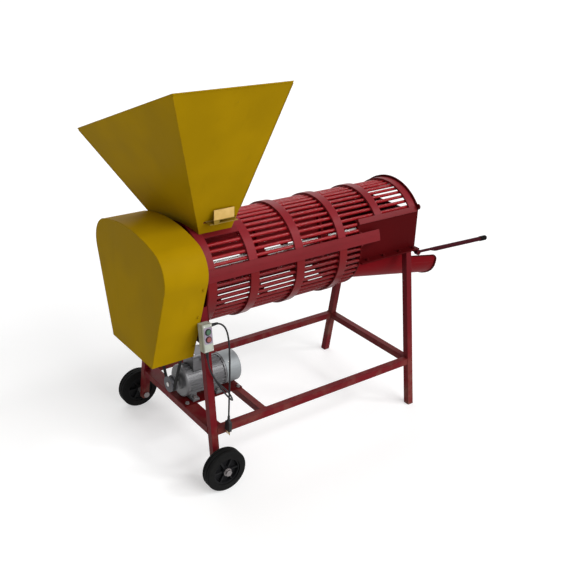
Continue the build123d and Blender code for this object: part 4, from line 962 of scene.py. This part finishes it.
begin()
bpy.ops.mesh.primitive_ico_sphere_add(subdivisions=1, radius=TACK_RADIUS)
tack = bpy.context.object
bpy.ops.object.mode_set(mode="EDIT")
bpy.ops.mesh.select_all(action="SELECT")
bpy.ops.transform.resize(value=TACK_SQUASH)
bpy.ops.object.mode_set(mode="OBJECT")
tack_spots = []
for rows, hoops in ((LOWER_ROWS, LOWER_HOOPS), (UPPER_ROWS, UPPER_HOOPS)):
    crossings = [((row + 0.5) * BAR_STEP, along) for row in rows for along in hoops]
    for angle, along in crossings:
        if along > BULKHEAD and not COVER_ANGLES[0] < angle < COVER_ANGLES[1]:
            continue
        around = Matrix.Rotation(radians(90 - angle), 4, "X") @ Matrix.Translation((0, 0, TACK_CIRCLE))
        for side in (-1, 1):
            middle = Matrix.Translation(at(along + side * TACK_FROM_HOOP, 0, AXIS_HEIGHT))
            tack_spots.append(middle @ around)
hand_over(copies(tack, tack_spots), "bar_tacks", "frame", "rail_red_paint", "red_paint")

# %% [markdown]
# The hopper's mouth has a folded hem that stiffens the sheet. Four strips could be laid round it, but their
# corners would have to be mitred. A plane the size of the mouth gives them at once: it is inset, opened in
# the middle, given its thickness, rounded and tilted with the mouth.

# %% Hopper hem
HOPPER_TILT = radians(20.0)
MOUTH_MIDDLE = (0.031, -0.008, 1.47455)
MOUTH_LENGTH = 0.472
MOUTH_WIDTH = 0.762
HEM_WIDTH = 0.016
HEM_THICKNESS = 0.004
HEM_SINK = 0.0005
HEM_ROUND = 0.0012

begin()
bpy.ops.mesh.primitive_plane_add(size=1.0)
hem = bpy.context.object
hem.scale = (MOUTH_LENGTH, MOUTH_WIDTH / cos(HOPPER_TILT), 1.0)
bpy.ops.object.transform_apply(location=False, rotation=False, scale=True)
bpy.ops.object.mode_set(mode="EDIT")
bpy.ops.mesh.select_mode(type="FACE")
bpy.ops.mesh.select_all(action="SELECT")
bpy.ops.mesh.inset(thickness=HEM_WIDTH)
bpy.ops.mesh.delete(type="FACE")
bpy.ops.mesh.select_all(action="SELECT")
bpy.ops.mesh.extrude_region_move(TRANSFORM_OT_translate={"value": (0, 0, -HEM_THICKNESS)})
bpy.ops.mesh.select_all(action="SELECT")
bpy.ops.mesh.normals_make_consistent(inside=False)
bpy.ops.object.mode_set(mode="OBJECT")
apply_modifier(hem, "BEVEL", width=HEM_ROUND, segments=2)
hem.rotation_euler = (-HOPPER_TILT, 0, 0)
hem.location = at(*MOUTH_MIDDLE) - Vector((0, sin(HOPPER_TILT), cos(HOPPER_TILT))) * HEM_SINK
hand_over(hem, "hopper_hem", "frame", "yellow_paint", "yellow_paint")

# %% [markdown]
# The belt guard is folded from sheet, so its front edge is round. The frame's solid has it sharp, and a
# bevel would change the solid, so a smooth bead lies along the edge instead. Half of its path is worked
# out, up the flared side, round the shoulder and along the crowned top, and the other half is its mirror
# image.

# %% Guard edge
EDGE_INSET = 0.0020
EDGE_RADIUS = 0.0030
GUARD_FRONT = -0.193
FLARE_TOP = (0.2811, 0.8721)
SHOULDER = (0.1761, 0.9051)
SHOULDER_RADIUS = 0.110
SHOULDER_TURN = range(-12, 72, 6)
CROWN_TOP = 1.042
CROWN_RADIUS = 0.700
CROWN_STATIONS = (0.2000, 0.1600, 0.1200, 0.0800, 0.0400)

shoulder_reach = SHOULDER_RADIUS - EDGE_INSET
crown_reach = CROWN_RADIUS - EDGE_INSET
guard_half = [(GUARD_FOOT_HALF - EDGE_INSET, GUARD_FOOT + EDGE_INSET)]
guard_half.append((FLARE_TOP[0] - EDGE_INSET, FLARE_TOP[1]))
for angle in SHOULDER_TURN:
    across = SHOULDER[0] + shoulder_reach * cos(radians(angle))
    guard_half.append((across, SHOULDER[1] + shoulder_reach * sin(radians(angle))))
for across in CROWN_STATIONS:
    guard_half.append((across, CROWN_TOP - CROWN_RADIUS + (crown_reach**2 - across**2) ** 0.5))
guard_path = [at(GUARD_FRONT + EDGE_INSET, -across, up) for across, up in guard_half]
guard_path += [at(GUARD_FRONT + EDGE_INSET, across, up) for across, up in reversed(guard_half)]
guard_edge = bead(guard_path, EDGE_RADIUS, **SMOOTH_RUN)
hand_over(guard_edge, "guard_edge", "frame", "yellow_paint", "yellow_paint")

# %% [markdown]
# The chute is a sloping half pipe of sheet. Its free lips are cut lower than the solid's and their corners
# are rounded, so that nobody is caught on a point. A new half pipe could be made, but a copy of the solid
# sits right by itself: it is merged into one mesh, one slab takes the lips down and a slab with a round
# hollow takes the two corners off.

# %% Chute lips
CHUTE_MIDDLE = 0.1485
CHUTE_SLOPE = radians(9.8)
CHUTE_ROOT = (1.165, 0.698)
CHUTE_MOUTH = 1.350
LIP_START = 1.157
LIP_DROP = 0.018
LIP_ROUND = 0.038
LIP_CUTTER = (0.300, 0.400, 0.080)
CORNER_CUTTER = (0.060, 0.400, 0.080)
HOLLOW_LENGTH = 0.500
SOLID_MERGE = 0.00001


def chute_axis(along):
    """The height of the half pipe's sloping axis."""
    return CHUTE_ROOT[1] - (along - CHUTE_ROOT[0]) * tan(CHUTE_SLOPE)


trough = bpy.data.objects.new("trough", nodes["discharge_chute"].data.copy())
bpy.context.scene.collection.objects.link(trough)
take(trough)
bpy.ops.object.mode_set(mode="EDIT")
bpy.ops.mesh.select_all(action="SELECT")
bpy.ops.mesh.remove_doubles(threshold=SOLID_MERGE)
bpy.ops.object.mode_set(mode="OBJECT")

lip_cutter = slab(LIP_CUTTER, (LIP_CUTTER[0] / 2, 0, LIP_CUTTER[2] / 2))
lip_place = Matrix.Translation(at(LIP_START, 0, chute_axis(LIP_START) - LIP_DROP))
lip_cutter.data.transform(lip_place @ Matrix.Rotation(CHUTE_SLOPE, 4, "Y"))
round_along = CHUTE_MOUTH - LIP_ROUND
round_up = chute_axis(round_along) - LIP_DROP - LIP_ROUND / cos(CHUTE_SLOPE)
corner_along = round_along + LIP_ROUND * sin(CHUTE_SLOPE) + CORNER_CUTTER[0] / 2
corner_cutter = slab(CORNER_CUTTER, at(corner_along, 0, round_up + CORNER_CUTTER[2] / 2))
begin()
bpy.ops.mesh.primitive_cylinder_add(vertices=64, radius=LIP_ROUND, depth=HOLLOW_LENGTH,
                                    location=at(round_along, 0, round_up), rotation=(pi / 2, 0, 0))
cut(corner_cutter, bpy.context.object)
for cutter in (lip_cutter, corner_cutter):
    cut(trough, cutter)
print("chute cut to", len(trough.data.polygons), "faces")

# %% [markdown]
# Seen from the side the chute's mouth is bowed, as the rim was drawn out into a spout when it was rolled.
# Proportional editing would bend the whole trough, so only the points on the mouth's plane move along it,
# most at the foot of the half pipe and not at all at its corners.

# %% Chute spout
SPOUT_REACH = 0.020
MOUTH_TOLERANCE = 0.0002
chute_way = Vector((cos(CHUTE_SLOPE), 0, -sin(CHUTE_SLOPE)))


def spout(place):
    """How far the mouth's rim is drawn out at a place."""
    share = (round_up - place.z) / (CHUTE_MIDDLE - LIP_DROP - LIP_ROUND)
    return chute_way * SPOUT_REACH * sin(min(1.0, max(0.0, share)) * pi / 2)


for vertex in trough.data.vertices:
    if vertex.co.x > at(CHUTE_MOUTH, 0, 0).x - MOUTH_TOLERANCE:
        vertex.co += spout(vertex.co)
hand_over(trough, "chute_trough", "frame", "chute_red_paint", "red_paint")
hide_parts("discharge_chute")

# %% [markdown]
# The chute's sheet is rolled over a thin wire along its two lips and over a thicker one round its mouth.
# The roll could be extruded from the trough's edge, but the cuts have left that edge uneven. So beads of
# those sizes follow the same lines that the cutters had, and the thick one thins to meet the lips. The roll
# takes the dark plate red as painted shade under the rolled rim.

# %% Chute roll
LIP_WIRE = 0.0036
MOUTH_WIRE = 0.0075
MOUTH_REACH = Vector((0.004, 0, 0))
ROLL_START = LIP_START + 0.004
CORNER_TURN = range(80, -1, -10)
MOUTH_TURN = range(22, 159, 8)


def on_trough(along, up, side):
    """The middle of the chute's sheet at a height, on the near side, -1, or the far side, 1."""
    drop = (chute_axis(along) - up) * cos(CHUTE_SLOPE)
    return at(along, side * (CHUTE_MIDDLE**2 - drop**2) ** 0.5, up)


corner_line = []
for angle in CORNER_TURN:
    reach = LIP_ROUND * cos(radians(angle))
    corner_line.append((round_along + reach, round_up + LIP_ROUND * sin(radians(angle))))
mouth_path = [on_trough(along, up, -1) for along, up in corner_line]
for angle in MOUTH_TURN:
    up = chute_axis(CHUTE_MOUTH) - CHUTE_MIDDLE * sin(radians(angle)) / cos(CHUTE_SLOPE)
    rim = at(CHUTE_MOUTH, -CHUTE_MIDDLE * cos(radians(angle)), up)
    mouth_path.append(rim + spout(rim))
mouth_path += [on_trough(along, up, 1) for along, up in reversed(corner_line)]
mouth_path = [place + MOUTH_REACH for place in mouth_path]
rolls = [bead(mouth_path, MOUTH_WIRE, closed=False, thin_ends=LIP_WIRE / MOUTH_WIRE, **SMOOTH_RUN)]
for side in (-1, 1):
    lip = [on_trough(ROLL_START, chute_axis(ROLL_START) - LIP_DROP, side)]
    lip.append(on_trough(*corner_line[0], side) + MOUTH_REACH)
    rolls.append(bead(lip, LIP_WIRE, closed=False, **SMOOTH_RUN))
# The dark plate red on the roll is painted shade under the rolled rim.
hand_over(join(rolls), "chute_roll", "frame", "plate_red_paint", "red_paint")

# %% [markdown]
# Where a lead leaves a housing, a ribbed rubber sleeve keeps it from kinking. Rings threaded on a cone
# would do, but one profile with five ribs that get smaller towards the lead is a single skin. It is turned
# once and copied to the two glands of the switch box and to the motor's.

# %% Lead sleeves
SLEEVE_SINK = 0.003
SLEEVE_END = 0.0235
FOOT_RADIUS = 0.0066
FOOT_HEIGHT = 0.0015
TIP_RADIUS = 0.0040
RIB_COUNT = 5
RIB_START = 0.0025
RIB_STEP = 0.0040
RIB_RADIUS = 0.0062
RIB_TAPER = 0.0003
RIB_DEPTH = 0.0010
RIB = ((RIB_DEPTH, 0), (0, 0.0010), (0, 0.0024), (RIB_DEPTH, 0.0034))

sleeve = [(0, -SLEEVE_SINK), (FOOT_RADIUS, -SLEEVE_SINK), (FOOT_RADIUS, FOOT_HEIGHT)]
for rib in range(RIB_COUNT):
    crest = RIB_RADIUS - RIB_TAPER * rib
    low = RIB_START + RIB_STEP * rib
    sleeve += [(crest - depth, low + rise) for depth, rise in RIB]
sleeve += [(TIP_RADIUS, SLEEVE_END), (0, SLEEVE_END)]
lead_ways = [(mains_exit, (1, 0, 0)), (motor_exit, first_drop), (motor_entry, (0, -1, 0))]
sleeves = copies(turned(sleeve), [facing(place, way) for place, way in lead_ways])
hand_over(sleeves, "lead_sleeves", "frame", "lead_rubber", "lead_black")

# %% [markdown]
# The lever is pulled by a length of pipe that is pushed over its rod, drawn in and welded at the root. The
# rod could be made thicker in the solid, but the pipe is a piece of its own. It is turned along the rod,
# which droops a little. It hangs on the rod by its upper wall, so its axis lies lower than the rod's, and
# only the root is in line with it.

# %% Lever pipe
LEVER_HUB = (1.165, -0.200, 0.722)
LEVER_DROOP = radians(2.3)
PIPE_START = 0.085
PIPE_END = 0.426
PIPE_RADIUS = 0.0105
PIPE_DROP = 0.0038
ROOT_RADIUS = 0.0067
ROOT_LENGTH = 0.030

lever_spot = facing(at(*LEVER_HUB), (cos(LEVER_DROOP), 0, -sin(LEVER_DROOP)))
pipe_line = [(0, PIPE_START), (ROOT_RADIUS, PIPE_START), (PIPE_RADIUS, PIPE_START + ROOT_LENGTH)]
pipe = turned(pipe_line + [(PIPE_RADIUS, PIPE_END), (0, PIPE_END)])
for vertex in pipe.data.vertices:
    vertex.co.y -= PIPE_DROP * min(1.0, (vertex.co.z - PIPE_START) / ROOT_LENGTH)
pipe.data.transform(lever_spot)
hand_over(pipe, "lever_pipe", "discharge_gate", "lever_red_paint", "red_paint")

# %% [markdown]
# A short rubber grip with finger rings closes the end of the pipe. A plain cylinder of rubber would read as
# paint, so the profile has four rings and a rounded end. It is turned like the pipe, lies on the pipe's
# axis and replaces the plain grip of the frame.

# %% Lever grip
GRIP_LIP = 0.002
GRIP_START = PIPE_END - GRIP_LIP
GRIP_END = 0.470
GRIP_RADIUS = 0.0124
GRIP_GROOVE = 0.0112
RING_COUNT = 4
RING_START = GRIP_START + 2 * GRIP_LIP
RING_STEP = 0.009
RING = ((GRIP_GROOVE, 0), (GRIP_GROOVE, 0.0025), (GRIP_RADIUS, 0.0040), (GRIP_RADIUS, 0.0070))
GRIP_NOSE = [(0.0114, 0.4650), (0.0092, 0.4690), (0.0042, GRIP_END), (0, GRIP_END)]

grip_line = [(0, GRIP_START), (GRIP_GROOVE, GRIP_START), (GRIP_RADIUS, GRIP_START + GRIP_LIP)]
for ring in range(RING_COUNT):
    grip_line += [(radius, RING_START + RING_STEP * ring + rise) for radius, rise in RING]
grip = turned(grip_line + GRIP_NOSE, 32)
grip.data.transform(lever_spot @ Matrix.Translation((0, -PIPE_DROP, 0)))
hand_over(grip, "lever_grip_ribbed", "discharge_gate", "grip_rubber", "plastic_black")
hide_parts("lever_grip")

# %% [markdown]
# Small screws hold the covers of the motor and the switch box. A dark stripe painted on a disc would stand
# for the slot, but a real cut catches the light at any angle. A round head is turned, a bar cut across it
# makes the slot, and copies go to the corners of the lids and round the fan cover.

# %% Cover screws
SCREW_RADIUS = 0.0034
SCREW_SHAPE = ((0, 0), (1.0, 0), (1.0, 0.3), (0.75, 0.62), (0, 0.75))
SLOT_SHAPE = (3.0, 0.30, 1.0)
BOX_LEG = (-0.006, -0.222244, 0.633)
BOX_OUT = 0.034925
LID_FACE = -0.0200
LID_CORNER = (0.0155, 0.0500)
TERMINAL_LID = {"rows": (0.062, 0.122), "columns": (-0.052, 0.012), "top": 0.443}
FAN_MIDDLE = (0.222, -0.020, 0.320)
FAN_RADIUS = 0.070
FAN_ANGLES = (45, 135, 225, 315)

head = turned([(radius * SCREW_RADIUS, up * SCREW_RADIUS) for radius, up in SCREW_SHAPE], 16)
cut(head, slab([part * SCREW_RADIUS for part in SLOT_SHAPE], (0, 0, SCREW_RADIUS)))
box_spot = Matrix.Translation(at(*BOX_LEG)) @ Matrix.Rotation(-LEG_LEAN, 4, "X")
box_spot = box_spot @ Matrix.Translation((0, -BOX_OUT, 0))
screw_spots = []
for across in (-LID_CORNER[0], LID_CORNER[0]):
    for up in (-LID_CORNER[1], LID_CORNER[1]):
        screw_spots.append(box_spot @ facing(Vector((across, LID_FACE, up)), (0, -1, 0)))
screw_spots += corner_spots(**TERMINAL_LID)
for angle in FAN_ANGLES:
    way = Vector((0, cos(radians(angle)), sin(radians(angle))))
    screw_spots.append(facing(at(*FAN_MIDDLE) + way * FAN_RADIUS, way))
hand_over(copies(head, screw_spots), "cover_screws", "frame", "turned_steel", "bright_steel")

# %% [markdown]
# The switch box has a lilac face plate that carries its two keys. Painting it on the box would give it no
# edge, so it is a thin slab of its own. Its four short edges are chosen by their run and rounded by a
# bevel, and two holes are cut through it for the keys.

# %% Switch face
FACE_SIZE = (0.0350, 0.0016, 0.0660)
FACE_MIDDLE = (0, -0.0207, 0.0110)
FACE_CORNER = 0.0050
KEY_HEIGHTS = (0.026, -0.004)
KEY_HOLE = 0.0114
HOLE_DEPTH = 0.02
EDGE_RUN = 0.001

plate = slab(FACE_SIZE, FACE_MIDDLE)
bpy.ops.object.mode_set(mode="EDIT")
choose("EDGE", lambda edge: abs(edge.verts[1].co.y - edge.verts[0].co.y) > EDGE_RUN)
bpy.ops.mesh.bevel(offset=FACE_CORNER, segments=5, affect="EDGES")
bpy.ops.object.mode_set(mode="OBJECT")
for up in KEY_HEIGHTS:
    begin()
    bpy.ops.mesh.primitive_cylinder_add(vertices=32, radius=KEY_HOLE, depth=HOLE_DEPTH,
                                        location=(0, FACE_MIDDLE[1], up), rotation=(pi / 2, 0, 0))
    cut(plate, bpy.context.object)
plate.data.transform(box_spot)
hand_over(plate, "switch_face", "frame", "face_plastic", "box_grey")

# %% [markdown]
# A black collar round each key keeps it from being pressed by chance. A torus would be too round, so the
# collar is turned from a closed profile with a flat foot and a bevelled crest. It stands clear of the key,
# which travels inside.

# %% Key collars
COLLAR_SEAT = -0.0205
COLLAR_BORE = 0.0107
COLLAR_REACH = 0.0137
COLLAR = [(COLLAR_BORE, 0), (COLLAR_REACH, 0), (COLLAR_REACH, 0.0020), (0.0128, 0.0032), (0.0114, 0.0032),
          (COLLAR_BORE, 0.0026), (COLLAR_BORE, 0)]

collar_spots = [box_spot @ facing(Vector((0, COLLAR_SEAT, up)), (0, -1, 0)) for up in KEY_HEIGHTS]
hand_over(copies(turned(COLLAR, 32), collar_spots), "key_collars", "frame", "black_plastic", "plastic_black")

# %% [markdown]
# The lids of the switch box and of the motor's terminal box close on thin rubber gaskets, which show as a
# dark line. A solid slab would fill the box and meet the keys, so each gasket is an open ring: a slab with
# a smaller slab cut out of it along its thin axis.

# %% Cover gaskets
GASKET_RIM = 0.0035
GASKET_ROUND = 0.0004
THROUGH = 0.01
SWITCH_GASKET = ((0.0427, 0.0012, 0.1127), (0, -0.0080, 0))
TERMINAL_GASKET = ((0.0810, 0.0850, 0.0014), at(0.092, -0.020, 0.4310))


def gasket(size, middle):
    """A thin slab with its middle cut out."""
    ring = slab(size, middle)
    hole = [part - 2 * GASKET_RIM for part in size]
    hole[size.index(min(size))] = THROUGH
    cut(ring, slab(hole, middle))
    apply_modifier(ring, "BEVEL", width=GASKET_ROUND, segments=2)
    return ring


gaskets = [gasket(*SWITCH_GASKET)]
gaskets[0].data.transform(box_spot)
gaskets.append(gasket(*TERMINAL_GASKET))
hand_over(join(gaskets), "cover_gaskets", "frame", "black_plastic", "plastic_black")

# %% [markdown]
# The bearing at the outlet end is greased through a nipple on its crown. It is a turned pin with a waist
# and a ball, a shape that a stack of primitives would only come near to. Its place is read from the
# bearing's box, so it stands on the crown whatever the bearing's size.

# %% Grease nipple
NIPPLE = [(0, -0.002), (0.0042, -0.002), (0.0042, 0.003), (0.0022, 0.004), (0.0022, 0.006),
          (0.0033, 0.0075), (0.0026, 0.010), (0, 0.0106)]


def far_side(node, axis):
    """The middle of a solid's box, moved to its highest side along an axis."""
    low, high = (Vector(corner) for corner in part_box(node))
    place = (low + high) / 2
    place[axis] = high[axis]
    return place


nipple = turned(NIPPLE, 16)
nipple.data.transform(Matrix.Translation(far_side("discharge_bearing", 2)))
hand_over(nipple, "grease_nipple", "frame", "brass_pins", "bright_steel")

# %% [markdown]
# The shaft comes through that bearing. Its end was faced on a lathe, chamfered and recessed for the centre,
# and it has gone dull outdoors. The solid's end is flat, so a thin turned cap with those features sits on
# it and turns with the rotor.

# %% Shaft end
SHAFT_END = [(0, -0.006), (0.0152, -0.006), (0.0152, -0.001), (0.0136, 0.0012), (0.0048, 0.0012),
             (0.0036, 0.0003), (0, 0.0003)]

tip = turned(SHAFT_END, 32)
tip.data.transform(facing(far_side("rotor_shaft", 0), (1, 0, 0)))
hand_over(tip, "shaft_end", "rotor", "dull_steel", "bright_steel")

# %% [markdown]
# The mains lead ends in a plug: a moulded body that narrows to the lead, with hollowed grip sides and a
# ribbed sleeve. It could be lofted through sections, but a slab gets there in a few moves: its upper face
# is drawn in twice, its sides are inset and pressed in, and a bevel rounds all edges. It hangs almost
# upright, as the end of the lead does.

# %% Plug body
PLUG_UP = (3, 2, 59)
PLUG_SIZE = (0.0138, 0.0298, 0.0400)
PLUG_MIDDLE = (0, 0, -0.0300)
PLUG_SHOULDERS = ((0.006, (0.72, 0.42, 1.0)), (0.003, (0.90, 0.80, 1.0)))
PLUG_INSET = 0.0045
PLUG_PRESS = (0.84, 1.0, 1.0)
PLUG_ROUND = 0.0016
PLUG_SLEEVE = [(0, -0.004), (0.0058, -0.004), (0.0058, 0.002), (0.0050, 0.004), (0.0055, 0.006),
               (0.0055, 0.008), (0.0047, 0.010), (0.0051, 0.012), (0.0051, 0.014), (0.0043, 0.017),
               (0, 0.017)]

plug_up = Vector(PLUG_UP).normalized()
plug_side = (Vector((1, 0, 0)) - plug_up * plug_up.x).normalized()
plug_turn = Matrix((plug_side, plug_up.cross(plug_side), plug_up)).transposed().to_4x4()
plug_spot = Matrix.Translation(mains_route[-1]) @ plug_turn
plug = slab(PLUG_SIZE, PLUG_MIDDLE)
bpy.ops.object.mode_set(mode="EDIT")
choose_top()
for rise, narrowing in PLUG_SHOULDERS:
    bpy.ops.mesh.extrude_region_move(TRANSFORM_OT_translate={"value": (0, 0, rise)})
    bpy.ops.transform.resize(value=narrowing)
choose("FACE", lambda face: abs(face.normal.x) > FACING)
bpy.ops.mesh.inset(thickness=PLUG_INSET, use_individual=True)
bpy.ops.transform.resize(value=PLUG_PRESS)
bpy.ops.object.mode_set(mode="OBJECT")
apply_modifier(plug, "BEVEL", width=PLUG_ROUND, segments=3)
plug = join([plug, turned(PLUG_SLEEVE)])
plug.data.transform(plug_spot)
hand_over(plug, "plug_body", "frame", "black_plastic", "plastic_black")
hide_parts("mains_plug")

# %% [markdown]
# Three round brass pins stand in the plug's foot. A cylinder would end in a sharp disc, so each pin is
# turned with a rounded point. Body and pins ride with the frame, as the lead does.

# %% Plug pins
PIN = [(0, 0.001), (0.0022, 0.001), (0.0022, -0.0160), (0.0014, -0.0178), (0, -0.0180)]
PIN_FOOT = -0.050
PIN_PLACES = (-0.0095, 0, 0.0095)

pin_spots = [plug_spot @ Matrix.Translation((0, across, PIN_FOOT)) for across in PIN_PLACES]
pins = hand_over(copies(turned(PIN, 16), pin_spots), "plug_pins", "frame", "brass_pins", "bright_steel")

# %% [markdown]
# Every piece's place is brought up to date, which closes the lesson.

# %% Finish
bpy.context.view_layer.update()
